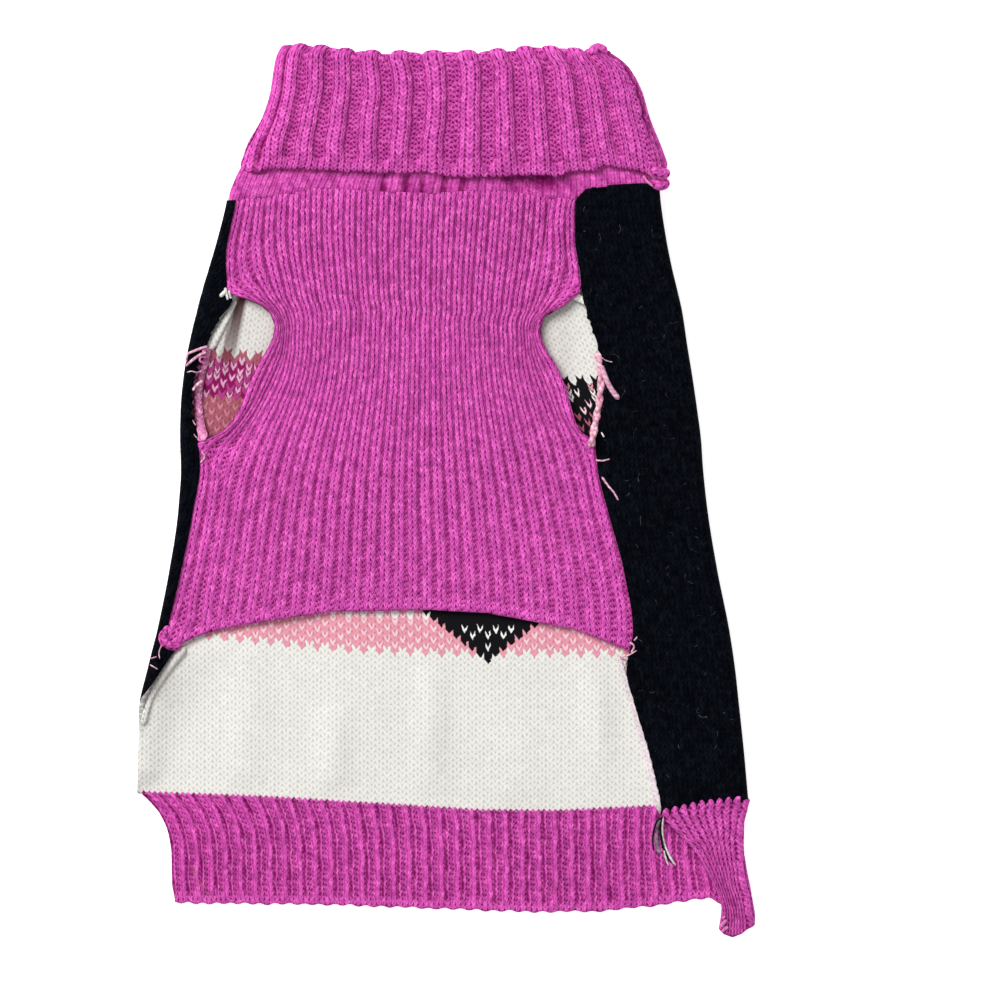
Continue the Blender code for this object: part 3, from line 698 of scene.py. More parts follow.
def inside_pattern(wool, wale, course, slant):
    """Cream, with stitch bands in several colours and a stepped triangle in black."""
    out = (wale.fract() - 0.5).abs() * 2
    stitch = wale.floor()
    left = stitch.less(TRIANGLE_WALE - 10)
    sides = {"left": left, "right": 1 - left}
    # A stitch of another colour shows as a narrow V on its row's own colour
    legs = course + out * 1.25
    vee = out.less(0.68) * (1 - legs.fract().less(0.30))
    rows = {True: legs.floor(), False: (course + out * slant).floor()}
    color = CREAM
    for rule in BANDS:
        row = rows[rule.narrow]
        mask = row.less(rule.last + 0.5) * (1 - row.less(rule.first - 0.5))
        if rule.side in sides:
            mask = mask * sides[rule.side]
        if rule.every > 1:
            mask = mask * (stitch + (row if rule.staggered else 0) - rule.start).every(rule.every)
        if rule.narrow:
            mask = mask * vee
        color = wool.blend(mask, color, rule.color)
    step = (stitch - TRIANGLE_WALE).abs()
    row = rows[False]
    half = TRIANGLE_HALF - (row - TRIANGLE_TOP).most(0)
    triangle = step.less(half) * row.less(TRIANGLE_TOP + TRIANGLE_ROWS) * (1 - row.less(TRIANGLE_FIRST))
    color = wool.blend(triangle, color, INK)
    # Two rows of pale stitches near the triangle's point, and a last one at the point
    below = rows[True] - TRIANGLE_TOP
    pale = (below - 3.5).abs().less(0.6) * step.less(3.7) * (step + below).every(2)
    point = (below - 6).abs().less(0.5) * step.less(0.5)
    color = wool.blend(pale.most(point) * vee, color, WHITE)
    # The second colour is each stitch's painted shade, a dark brown taken from its own colour
    return color, wool.blend(1, color, (0.09, 0.04, 0.045), "MULTIPLY")


# ------------------------ the cloth


def belly_top(x):
    return at_x(NECK_SEAM, x) - SEAM_GAP


def between_edges(x, y, rows):
    """The belly's wales, each cut at its top seam and its hem, in even steps of its length."""
    out = np.empty((2, rows, x.shape[1]))
    index = np.arange(len(y), dtype=float)
    for j, line in enumerate(x.T):
        first = np.interp(0, belly_top(line) - y, index)
        last = np.interp(0, at_x(BELLY_HEM, line) - y, index)
        way = way_along(line, y)
        ends = np.interp([first, last], index, way)
        place = np.interp(np.linspace(*ends, rows), way, index)
        out[:, :, j] = np.interp(place, index, line), np.interp(place, index, y)
    return out


def belly_side(which, y):
    """The belly's left or right edge: the seam to the back and, beside the leg, the armhole."""
    if which == "left":
        seam, armhole, inner = left_edge(y) + 1.5 * SEAM_GAP, LEFT_ARMHOLE, np.maximum
    else:
        seam, armhole, inner = body("right_edge", y) - SEAM_GAP, RIGHT_ARMHOLE, np.minimum
    at_leg = (y < armhole[0].y) & (y > armhole[-1].y)
    return np.where(at_leg, inner(seam, curve(armhole, "y", "x", y)), seam)


def distance_to(line, x, y):
    """The distance from each place to a line of points."""
    nearest = np.full(np.broadcast(x, y).shape, np.inf)
    for a, b in zip(line, line[1:]):
        dx, dy = b.x - a.x, b.y - a.y
        t = np.clip(((x - a.x) * dx + (y - a.y) * dy) / (dx * dx + dy * dy), 0, 1)
        nearest = np.minimum(nearest, np.hypot(x - a.x - t * dx, y - a.y - t * dy))
    return nearest


# How far the belly's wales smooth its edges: in millimetres of height, in the share of its width
# over which that sets in, and the closest that wales come, as a share of their mean
BLUR = 20
BLUR_SHARE = 0.10
CLOSEST_WALES = 0.42


def belly_lines(columns):
    """The belly's wales: they follow its edges where they are near, and straighten further in."""
    y = np.linspace(114, -66, 361)
    u = np.linspace(0, 1, columns)[None, :]
    spread = np.linspace(-2.2, 2.2, 33)
    share = bell(spread / math.sqrt(2))
    left = right = 0
    for s, part in zip(spread * BLUR, share / share.sum()):
        left = left + part * belly_side("left", y[:, None] + s * (1 - np.exp(-u / BLUR_SHARE)))
        right = right + part * belly_side("right", y[:, None] + s * (1 - np.exp((u - 1) / BLUR_SHARE)))
    step = np.diff(left + (right - left) * u, axis=1)
    step = np.maximum(step, CLOSEST_WALES * step.mean(axis=1, keepdims=True))
    way = np.concatenate([np.zeros((len(y), 1)), np.cumsum(step, axis=1)], axis=1)
    return left[:, :1] + way * (right[:, -1:] - left[:, :1]) / way[:, -1:], y


def belly_height(x, y, to_hem):
    """The middle of the belly's wall, with soft folds and with lips at the armholes and the hem."""
    to_leg = np.minimum(distance_to(LEFT_ARMHOLE, x, y), distance_to(RIGHT_ARMHOLE, x, y))
    lip = 1.2 * bell(to_leg / 2.4) - 0.7 * bell(to_leg - 6.2, 2.4)
    hem_lip = 0.35 * bell(to_hem - 1.4, 1.6) * (1 + 0.5 * uneven(x / 2.6)) - 0.4 * bell(to_hem / 7)
    z = BELLY_LAYER + neck_rise(y) + creases(BELLY_CREASES, x, y) + lip + hem_lip
    return z + 0.25 * uneven(x / 9, y / 13)


def add_belly():
    """The ribbed belly, two knit wales and a purl one to a rib, round two armholes."""
    per_rib, courses = 15, 80
    columns, rows = BELLY_RIBS * per_rib + 1, courses * 2 + 1
    x, y = between_edges(*belly_lines(columns), rows)
    repeat, course = np.meshgrid(np.linspace(0, BELLY_RIBS, columns), np.linspace(0, courses, rows))
    to_hem = y - at_x(BELLY_HEM, x)
    # The rolled corner at the left lies over the back's strip
    corner = bell(y + 53.5, 5.5) * ease(1 - repeat * 11 / BELLY_RIBS)
    z = belly_height(x, y, to_hem) + CORNER_RISE * corner
    x = x - CORNER_REACH * corner
    # The ridges keep their width, and the valleys between them open where the cloth is stretched
    own = np.floor(repeat)
    wander = 0.03 * uneven(y / 1.5, own * 2.3) + 0.025 * uneven(y / 0.55, own * 3.9)
    repeat = repeat + wander * np.minimum(repeat, BELLY_RIBS - repeat).clip(0, 1)
    width = np.gradient(x, axis=1) * per_rib
    share = np.clip(BELLY_RIDGE / width, 0.62, 0.90)
    phase = repeat % 1
    # The valley's stitches are set off by a quarter, so that their gaps run zigzag down it
    wale = np.where(phase < share, 2 * phase / share, 1.75 + (phase - share) / (1 - share))
    wale = wale + 3 * np.floor(repeat)
    rib = ridge(phase, -0.02, share + 0.02, 3.5)
    cords = ridge(2 * phase / share % 1, 0, 1, 2)
    soft = ease(to_hem - 2.4, 2.4) * ease(belly_top(x) - y, 2.5)
    high = (1 + 0.2 * uneven(own * 3.7, y / 17)) * (0.5 + 0.5 * ease(width - 2.4, 1.4))
    raised = BELLY_RIB * (rib * (0.7 + 0.3 * cords) * high * soft + 0.55 * (1 - soft))
    points = np.stack([x, y, z], axis=-1)
    # Painted shade in the valleys between ribs: deeper where they are narrow, and broken along them
    dark = 1 - ridge(phase, -0.02, share + 0.02, 11)
    broken = 0.84 + 0.28 * np.cos(2 * np.pi * (course + 0.37 * own)) + 0.3 * uneven(y / 1.4, own * 5.1)
    deep = (0.38 + 0.44 * ease(share - 0.68, 0.12)) * (1 - 0.5 * bell(y - 36, 20))
    valley = deep * dark * soft * np.clip(broken, 0.25, 1.15)
    # The groove between the two cords of a rib, and its painted shade, are deeper where they are drawn tight
    line = 0.24 + 0.5 * ease(share - 0.80, 0.09) + 0.2 * uneven(y / 2.3, own * 4.3)
    purl = np.clip((phase - share) * 15 + 0.5, 0, 1) * np.clip((1 - phase) * 15, 0, 1)
    numbers = [knit_numbers(wale, course, valley, side, line=line) for side in (purl, 1 - purl)]
    walls = skins(points, normals(points), BELLY_WALL, raised, 0)
    return add_wall("belly_cloth", walls, numbers, [BELLY_KNIT] * 2, 4, 15)


def back_rows(longest):
    """A row at each station, with more between where two are further apart than longest."""
    stations = np.unique(np.concatenate([column(BODY, "y"), column(LEFT_FOLD, "y")]))[::-1]
    rows = [stations[:1]]
    for above, below in zip(stations, stations[1:]):
        steps = int(np.ceil((above - below) / longest))
        rows.append(np.linspace(above, below, steps + 1)[1:])
    return np.concatenate(rows)


def back_section(y, strip, fold, side):
    """x and z of the back's wall: the right strip, the right fold, the low layer, the left."""
    strip_y, fold_y, low_y, side_y = np.split(y, [strip, strip + fold, y.shape[1] - side], axis=1)
    inset = BACK_WALL / 2 + FOLD_RADIUS
    turn_x = body("right", strip_y) - inset
    edge = body("right_edge", strip_y)
    edge = edge + ragged(strip_y, 1.3) * at_legs(strip_y)
    edge = edge + ragged(strip_y, 0.35) * ease(-56 - strip_y, 3)
    strip_x = edge + (turn_x - edge) * np.linspace(0, 1, strip)
    settle = LOW_LAYER + 2 * FOLD_RADIUS - TOP_LAYER
    strip_z = TOP_LAYER + settle * ease(1 + (strip_x - turn_x) / RIGHT_SETTLES)
    fold_x, fold_z = right_fold(body("right", fold_y), BACK_WALL, LOW_LAYER)
    side_x, side_z, _ = left_side(side_y)
    _, _, start = left_side(low_y)
    turn_x = body("right", low_y) - inset
    t = np.linspace(0, 1, low_y.shape[1] + 1)[:-1]
    low_x = turn_x + (start - turn_x) * t
    low_z = np.full_like(low_x, LOW_LAYER)
    x = np.concatenate([strip_x, fold_x, low_x, side_x], axis=1)
    return x, np.concatenate([strip_z, fold_z, low_z, side_z], axis=1)


def back_sheet(strip, fold, low, side, longest):
    """The middle of the back's wall, a grid whose rows run from the right strip round below."""
    columns = np.arange(strip + fold + low + side)
    over = columns < strip + fold // 2
    on_top = over | (columns > len(columns) - side * 5 // 7)
    rows = back_rows(longest)[:, None] + 0 * columns
    y = rows
    for _ in range(4):
        x, z = back_section(y, strip, fold, side)
        neck = np.where(on_top, at_x(NECK_SEAM, x), LOW_NECK_SEAM) - SEAM_GAP
        seam = np.where(over, at_x(FLAP_SEAM, x), at_x(HEM_SEAM, x))
        y = rows + (neck - BODY[0].y) * ease(rows - NECK_BEND_FROM, NECK_BEND_LENGTH)
        near_hem = ease(1 - (rows - BODY[-1].y) / HEM_BEND_LENGTH)
        y = y + (seam + SEAM_GAP - BODY[-1].y) * near_hem
    x, z = back_section(y, strip, fold, side)
    rise = neck_rise(y) * ease(z - LOW_LAYER, TOP_LAYER - LOW_LAYER)
    return x, y, z + rise


def armhole_shade(x, y, flat):
    """How dark the cream lies in the armholes' shade, with the deep fold in the left one."""
    shaded = 0.17 * ease(y - 12, 6) * ease(74 - y, 6) * ease(np.abs(x + 10) - 30, 12)
    shaded = shaded * (1 - 0.75 * ease(x - 41, 7))
    aside = x + 73.4 - 0.30 * (y - 66)
    deepest = np.interp(y, [30, 38, 44, 47, 50, 54, 60, 66], [0, 0.1, 0.35, 0.55, 0.68, 0.8, 0.93, 1])
    fold = ease(aside / 0.9) * ease(3.3 - aside / (1.4 + 0.035 * (66 - y))) * deepest * flat
    return 1 - (1 - shaded) * (1 - fold)


def add_back():
    """The back: black outside, cream inside, round both sides of the sweater."""
    strip, fold, low, side = 41, 14, 190, 26
    x, y, z = back_sheet(strip, fold, low, side, 1)
    columns = np.arange(x.shape[1])[None, :]
    flat = (columns >= strip + fold) & (columns < strip + fold + low)
    over = columns < strip + fold
    from_left = x - body("left", y)
    width = np.where(from_left < 1.8, 3, curve(LEFT_LIP, "y", "width", y))
    lip = curve(LEFT_LIP, "y", "height", y) * bell(from_left - 1.8, width)
    soft = np.where(flat, creases(BACK_CREASES, x, y), 0)
    from_seams = ease(y - at_x(HEM_SEAM, x), 9) * ease(at_x(NECK_SEAM, x) - y, 9)
    lifted = (np.maximum(soft, 0) + np.where(over, 0, lip)) * from_seams
    points = np.stack([x, y, z + lifted], axis=-1)
    black, cream = skins(points, normals(points), BACK_WALL, 0, np.minimum(soft, 0))
    way = way_along(x, z)
    outside = knit_numbers((way - way[:, strip : strip + 1]) / BLACK_WALE, (BODY[0].y - y) / BLACK_COURSE)
    level = ease(y - 6, 12) * ease(90 - y, 12)
    lean = 0.36 * (y - 38) * ease(x - 22, 10) - 0.14 * (y - 40) * ease(-30 - x, 20)
    inside = knit_numbers((x - TRIANGLE_X + lean * level) / CREAM_WALE + TRIANGLE_WALE + 0.5,
                          (BODY[0].y - y + at_x(COURSE_DROP, x)) / CREAM_COURSE, armhole_shade(x, y, flat))
    # The finer skin is the inside, where the stitches show in colour
    materials = [CREAM_INSIDE, BLACK_KNIT]
    return add_wall("back_cloth", [cream, black], [inside, outside], materials, 1, 2, flip=True)


def hem_sheet(v, flap, fold, low):
    """The middle of the hem's wall, whose columns run from the flap's edge round to the far left."""
    nominal = HEM[0].y + (HEM[-2].y - HEM[0].y) * v
    flap_y = HEM[0].y + (HEM[-1].y - HEM[0].y) * v
    left = curve(HEM, "y", "left", nominal)
    right = curve(HEM, "y", "right", nominal)
    turn_x = right - HEM_WALL / 2 - FOLD_RADIUS
    edge = np.minimum(curve(HEM, "y", "right_edge", flap_y), turn_x - FLAP_NARROWEST)
    flap_x = edge + (turn_x - edge) * np.linspace(0, 1, flap)[None, :]
    settle = HEM_LAYER + 2 * FOLD_RADIUS - TOP_LAYER
    flap_z = TOP_LAYER + settle * ease(1 + (flap_x - turn_x) / FLAP_SETTLES)
    fold_x, fold_z = right_fold(right + np.zeros((1, fold)), HEM_WALL, HEM_LAYER)
    t = np.linspace(0, 1, low)[None, :]
    # The ribs stand upright, and lean only where the left side is drawn in
    low_x = turn_x[:1] + (left[:1] + HEM_WALL / 2 - turn_x[:1]) * t
    low_x = low_x + (left - left[:1]) * t**HEM_LEAN + (turn_x - turn_x[:1]) * (1 - t) ** 9
    x = np.concatenate([flap_x, fold_x, low_x], axis=1)
    z = np.concatenate([flap_z, fold_z, np.full_like(low_x, HEM_LAYER)], axis=1)
    number = np.arange(x.shape[1])[None, :] + 0 * x
    beyond = number - flap - fold
    over = number < flap + fold // 2
    seam = np.where(over, at_x(FLAP_SEAM, x), at_x(HEM_SEAM, x))
    edge_y = np.where(over, at_x(FLAP_EDGE, x), at_x(HEM_EDGE, x))
    y = seam - SEAM_GAP + (edge_y - seam) * v
    # The first loops reach up over the cloth above, one to a wale
    loop = np.where(over, FLAP_LOOP * (1 - (2 * (number / 8 % 1) - 1) ** 2),
                    HEM_LOOP * (1 - np.abs(2 * (beyond / 4 % 1) - 1)))
    y = y + loop * ease(1 - v * 16) * np.where(over & (number >= flap), 0.3, 1)
    z = z + 1.3 * ease(1 - v * 9) * np.where(number < flap, ease(turn_x - x, 3), 0)
    scallop = np.where(over, 0, 0.3 * np.cos(2 * np.pi * beyond / 12) + 0.2 * uneven(x / 3.1))
    return x, y + scallop * v**8, z, number


def add_hem():
    """The hem band: its inside on the low layer, its outside on the flap at the right."""
    flap, fold = FLAP_WALES * 8 + 1, 18
    v = np.linspace(0, 1, 49)[:, None]
    x, y, z, number = hem_sheet(v, flap, fold, HEM_RIBS * 12 + 1)
    low = number >= flap + fold
    wale = np.where(low, (number - flap - fold) / 4, number / 8)
    course = (HEM[0].y - y) / HEM_COURSE
    # From the right: a deep crease, a narrow bright ridge at its left, then two rows of purl bumps
    own = np.floor(wale / 3)
    beat = np.cos(2 * np.pi * (course + 0.31 * own))
    wander = 0.028 * beat + 0.06 * uneven(y / 2.2, own * 2.9)
    phase = (wale / 3) % 1 + wander
    wale = wale + 3 * wander
    strength = 1 + 0.4 * uneven(own * 4.1, y / 3, seed=1)
    above_lip = ease((1 - v) * (HEM_SEAM[0].y - HEM_EDGE[0].y) - HEM_LIP, 1.6)
    crease = bell(phase - 0.91, 0.07 + 0.03 * uneven(own * 2.7, y / 4)) * above_lip * strength
    ribs = np.maximum(ridge(phase, 0.58, 0.83), 0.7 * ridge(phase, -0.02, 0.33))
    raised = HEM_RIB * (ribs * above_lip + 0.5 * (1 - above_lip) - 0.75 * crease) + 0.07 * beat * above_lip
    cord = ridge(wale % 1, 0, 1, 2)
    roll = bell(number - 7, 6) * ease(v - 0.06, 0.1)
    outer_rise = np.where(low, 0, 0.55 * cord * (1 - roll) + 1.2 * roll)
    inner_rise = np.where(low, np.maximum(raised, 0.85 * ease(1 - v * 22)), 0)
    points = np.stack([x, y, z], axis=-1)
    outer, inner = skins(points, normals(points), HEM_WALL, outer_rise, inner_rise)
    middle = bell(phase - 0.45, 0.11) * above_lip
    # The flap gets painted shade between its cords, and the inside gets it in its creases and over the purl
    # rows between ridges
    outside = knit_numbers(wale, course, np.where(low, 0, 0.65 * (1 - roll) * (1 - cord) ** 2))
    inside = knit_numbers(wale, course, np.where(low, np.clip(1.9 * crease + 0.2 * middle, 0, 1), 0),
                          np.where(low, (phase < 0.6) * (0.1 + 0.9 * middle), 0))
    return add_wall("hem_cloth", [inner, outer], [inside, outside], [HEM_KNIT, FLAP_KNIT], 1, 1, flip=True)


def ring_points(left, right, low, high, end, columns_high, columns_low):
    """x and z round a flattened ring: even steps over the top, steps that close up below."""
    turn = np.linspace(0, np.pi / 2, 24)
    side_z = (high - low) / 2 * np.sin(turn)
    side_x = end * (1 - np.cos(turn))
    top_x = np.concatenate([left + side_x, (right - side_x)[::-1]])
    top_z = np.concatenate([side_z, side_z[::-1]])
    way = way_along(top_x, top_z)
    high_way = np.linspace(0, way[-1], columns_high + 1)[:-1]
    low_way = way[-1] * (1 + np.cos(np.linspace(0, np.pi, columns_low + 1)[:-1])) / 2
    x = np.interp(np.concatenate([high_way, low_way]), way, top_x)
    z = np.concatenate([np.interp(high_way, way, top_z), -np.interp(low_way, way, top_z)])
    return x, (high + low) / 2 + z


def collar_tube(place, columns_high, columns_low):
    """The middle of the collar's wall, ring by ring, and how far each ring is from the neck edge."""
    level, *shape = (curve(COLLAR, "place", name, place[:, 0]) for name in Ring._fields[1:])
    rings = [ring_points(*ring, columns_high, columns_low) for ring in zip(*shape)]
    x, z = np.array(rings).transpose(1, 0, 2)
    _, _, low, high, _ = shape
    top = z > ((high + low) / 2)[:, None]
    seam = np.where(top, at_x(NECK_SEAM, x), LOW_NECK_SEAM) + SEAM_GAP
    y = level[:, None] + (seam - COLLAR[0].y) * np.interp(place, [0, 1, 2], [1, 0.6, 0])
    near_hem = np.clip((place - 11.25) / 3.75, 0, None)
    y = y + near_hem * np.where(top, at_x(COLLAR_HEM, x), COLLAR_HEM_BELOW)
    y = y + 0.45 * uneven(x / 1.7) * bell(15 - place, 0.4) * top
    y = y + (2.4 * bell(x + 50, 15) + 1.7 * bell(x - 33, 15)) * bell(place - 8, 2.4)
    return np.stack([x, y, z], axis=-1), way_along(level, high)[:, None]


def collar_repeat(across, y, place):
    """The ribs counted across the front. Towards the top fold they lean to the right, and towards
    the hem those at the left do."""
    repeat = COLLAR_RIB_MIDDLE + COLLAR_RIB_SPREAD * across + COLLAR_RIB_CLOSING * across**3
    fade = ease(0.5 - np.abs(across), 0.07)
    upper = ease(12.4 - place, 2.4) * ease(across + 0.16, 0.28)
    lower = ease(place - 12.6, 2) * (0.28 * ease(-0.04 - across, 0.2) - 0.1 * ease(across - 0.1, 0.2))
    repeat = repeat - (0.34 * upper + lower) * fade
    return repeat + 0.02 * uneven(y / 3.1, np.floor(repeat) * 2.7) * fade


def collar_gather(x, y, place):
    """How the cloth is drawn in at the neck seam: uneven all along it, and in pleats."""
    gather = bell(place - 0.7, 1.1)
    gather = gather * (0.6 * uneven(x / 1.9, y / 4) + 0.4 * uneven(x / 0.8, y / 1.6, seed=2))
    gather = gather - 1.6 * bell(x - 31, 12) * bell(place - 1.4, 0.9)
    for pleat in (-21, -13.5, -7.7, 0, 6.4):
        gather = gather - 2 * bell(x - pleat, 1.1) * bell(place - 0.5, 1.1)
    return gather


def add_collar():
    """The turtleneck: a tube that is folded over, so that its fold-over shows its inside."""
    columns_high, columns_low = COLLAR_RIBS_IN_FRONT * 24, 120
    parts = ((0, 3, 17), (3, 6, 9), (6, 10, 19), (10, 15, 57))
    place = np.unique(np.concatenate([np.linspace(*part) for part in parts]))[:, None]
    points, way = collar_tube(place, columns_high, columns_low)
    x, y, _ = points.transpose(2, 0, 1)
    normal = normals(points, turned=True, ring=True)
    number = np.arange(x.shape[1])[None, :] + 0 * x
    on_front = number < columns_high
    across = number / columns_high - 0.5
    last = COLLAR_RIB_MIDDLE + COLLAR_RIB_SPREAD / 2 + COLLAR_RIB_CLOSING / 8
    behind = (number - columns_high) / columns_low * COLLAR_RIBS_BELOW
    repeat = np.where(on_front, collar_repeat(across, y, place), last + behind)
    phase = repeat % 1
    # Three knit wales over the ridge, the middle one seen widest, and two purl ones between ridges
    wale = np.interp(phase, [0, 0.2, 0.368, 0.632, 0.8, 1], [-1, 0, 1, 2, 3, 4])
    wale = wale + 5 * np.floor(repeat)
    # The purl ground between the ridges narrows towards the sides, where the ribs close up
    ground = 0.5 - np.abs(phase - 0.5)
    ground_edge = 0.2 - 0.09 * ease(np.abs(across + 0.04) - 0.2, 0.22)
    rib = ridge(0.5 - 0.31 * (0.5 - ground) / (0.51 - ground_edge), 0.19, 0.81, 2.8)
    # The side seam, past a last wide ridge at the right, and the margin at the left
    past = ease(across - COLLAR_SEAM + 0.063, 0.01) * on_front
    seam_line = bell(across - COLLAR_SEAM - 0.006 * uneven(y / 1.1), 0.006) * on_front
    seam_line = seam_line * ease(14.2 - place, 1.2)
    margin = ease(-0.463 - across, 0.006) * on_front
    margin_line = bell(across + 0.460, 0.0045) * on_front
    rib = np.maximum(rib, np.maximum(past, 0.8 * margin)) * (1 - 0.8 * seam_line) * (1 - 0.8 * margin_line)
    grooves = 0.09 * (bell(phase - 0.368, 0.03) + bell(phase - 0.632, 0.03))
    neck = np.interp(place, [0, 1, 2, 3], [0.10, 0.12, 0.1, 0])
    turned = np.interp(place, [5.5, 7.6, 10], [0, 1, 1])
    above_lip = ease(15 - place - COLLAR_LIP - 1.6 * np.minimum(ground, 0.2), 0.3)
    lip = 0.62 + 0.16 * rib + 0.08 * uneven(x / 1.3)
    raised = ((rib - grooves) * above_lip + lip * (1 - above_lip)) * (1 - 0.45 * ease(place - 14.86, 0.14))
    raised = raised * (1 - 0.65 * ease(np.abs(normal[..., 0]) * 1.4 - 0.4))
    gather = collar_gather(x, y, place) * on_front
    at_neck = COLLAR_RIB * 0.6 * rib * neck + gather
    outer, inner = skins(points, normal, COLLAR_WALL, at_neck, COLLAR_RIB * raised * turned)
    # Painted shade in the recesses between ridges, in the pleats at the neck and along the seam grooves
    valley = 0.36 * np.clip(1 - 1.2 * rib, 0, 1) * above_lip * turned + np.clip(-0.65 * gather, 0, 0.9)
    valley = valley + 0.8 * np.maximum(seam_line, margin_line) * turned
    purl = (ground < ground_edge) * above_lip * turned * (1 - margin)
    purl = purl + 0.4 * np.interp(place, [0, 2, 3], [1, 1, 0])
    numbers = knit_numbers(wale, way / COLLAR_COURSE, valley, purl)
    return add_wall("collar_cloth", [inner, outer], [numbers] * 2, [COLLAR_KNIT] * 2, ring=True)


# ------------------------ finishes

COLLAR_KNIT = knit_material("magenta wide rib", MAGENTA, MAGENTA_SHADE, 0.35, line=0.6, dot=0.25, centre=0.5)
BELLY_KNIT = knit_material("magenta two by one rib", MAGENTA, MAGENTA_SHADE, 0.45, line="line", dot=0.1,
                           centre=0.14)
HEM_KNIT = knit_material("magenta hem rib", MAGENTA, MAGENTA_SHADE, 0.35)
FLAP_KNIT = knit_material("magenta hem outside", MAGENTA, MAGENTA_SHADE, 0.45, line=0.45, dot=0.3)
BLACK_KNIT = knit_material("black knit", BLACK, BLACK_SHADE, 0.3, sheen=0.02,
                           shares=(0.9, 1, 2.2, 0.3), lift=0.006)
CREAM_ROLL = knit_material("cream edge", (0.82, 0.80, 0.77), (0.45, 0.42, 0.38), 0.25, line=0.1, dot=0,
                           sheen=0.08, shares=(0.6, 0.6, 0.35, 0.1), lift=0)
PALE_ROLL = knit_material("cream edge with a pink cast", (0.86, 0.76, 0.80), (0.60, 0.46, 0.52), 0.25,
                          line=0.1, dot=0, sheen=0.08, shares=(0.5, 0.6, 0.45, 0.2), lift=0)
MAUVE_ROLL = knit_material("mauve edge", (0.78, 0.26, 0.50), (0.46, 0.06, 0.27), 0.3, shares=(0.6, 1, 1, 0.9),
                           lift=0.6)
MAGENTA_ROLL = knit_material("magenta edge", MAGENTA, MAGENTA_SHADE, 0.45, line=0.3)
CREAM_INSIDE = knit_material("cream inside with bands", CREAM, CREAM_SHADE, 0.12, slant=0.8, line=0.10,
                             dot=-0.05, centre=0.9, sheen=0.08, shares=(0.32, 1, 0.16, 0.05), lift=0,
                             pattern=inside_pattern)


def yarn_material(name, color, ply):
    """Spun yarn in two twisted plies."""
    wool = Wool(name, 0.9, 0.08, 0.04, color)
    yarn = wool.group(YARN)
    tuft, tone = read(yarn, "Tuft"), read(yarn, "Tone")
    twist = wool.number("twist") + tuft * 0.5
    turn = twist.wave() * 0.5 + 0.5
    plies = wool.blend((turn * 0.3 + tuft * 2.4 + 0.35).within(), color, ply)
    # Painted shade in the groove between the plies
    deep, gap = tuple(0.45 * c for c in color), twist.fract().bump(0.5, 0.2)
    dyed_and_shaded = wool.group(DYE_AND_SHADE, Color=plies, Deep_Color=deep, Gap=gap, Tone=tone,
                      Slow_Tone=read(yarn, "Slow Tone"), Gap_Share=0.45, Tone_Share=0.9)
    return wool.finish(dyed_and_shaded.outputs["Color"], turn * 0.5 + read(yarn, "Height") * 0.6, 0.2)


def through(points, count):
    """A smooth line through points, as many places as count on each of its spans."""
    points = np.asarray(points, float)
    padded = np.vstack([2 * points[0] - points[1], points, 2 * points[-1] - points[-2]])
    t = np.linspace(0, 1, count + 1)[:-1, None]
    line = []
    for a, b, c, d in zip(padded, padded[1:], padded[2:], padded[3:]):
        square, cube = 2 * a - 5 * b + 4 * c - d, 3 * b - a - 3 * c + d
        line.append(0.5 * (2 * b + (c - a) * t + square * t**2 + cube * t**3))
    return np.vstack([*line, points[-1:]])


class Ground:
    """The heights of the cloth's upper side, to lay yarn on."""

    def __init__(self, pieces):
        self.trees = []
        for piece in pieces:
            corners = [vertex.co for vertex in piece.data.vertices]
            self.trees.append(BVHTree.FromPolygons(corners, [face.vertices for face in piece.data.polygons]))

    def height(self, x, y):
        start, down = Vector((x * MM, y * MM, 0.05)), Vector((0, 0, -1))
        hits = [tree.ray_cast(start, down)[0] for tree in self.trees]
        return max([0] + [hit.z / MM for hit in hits if hit is not None])


# A length of yarn on the cloth: places as x, y and the height over the cloth, its radius at the
# start and at the end, and how flat it lies
Strand = namedtuple("Strand", "places start end flat", defaults=(1,))


# How fast a yarn comes down past the cloth's edge, in millimetres to each one along it
YARN_FALL = 0.5


def soften(values, passes=3):
    for _ in range(passes):
        values = np.concatenate([values[:1], (values[:-2] + 2 * values[1:-1] + values[2:]) / 4, values[-1:]])
    return values


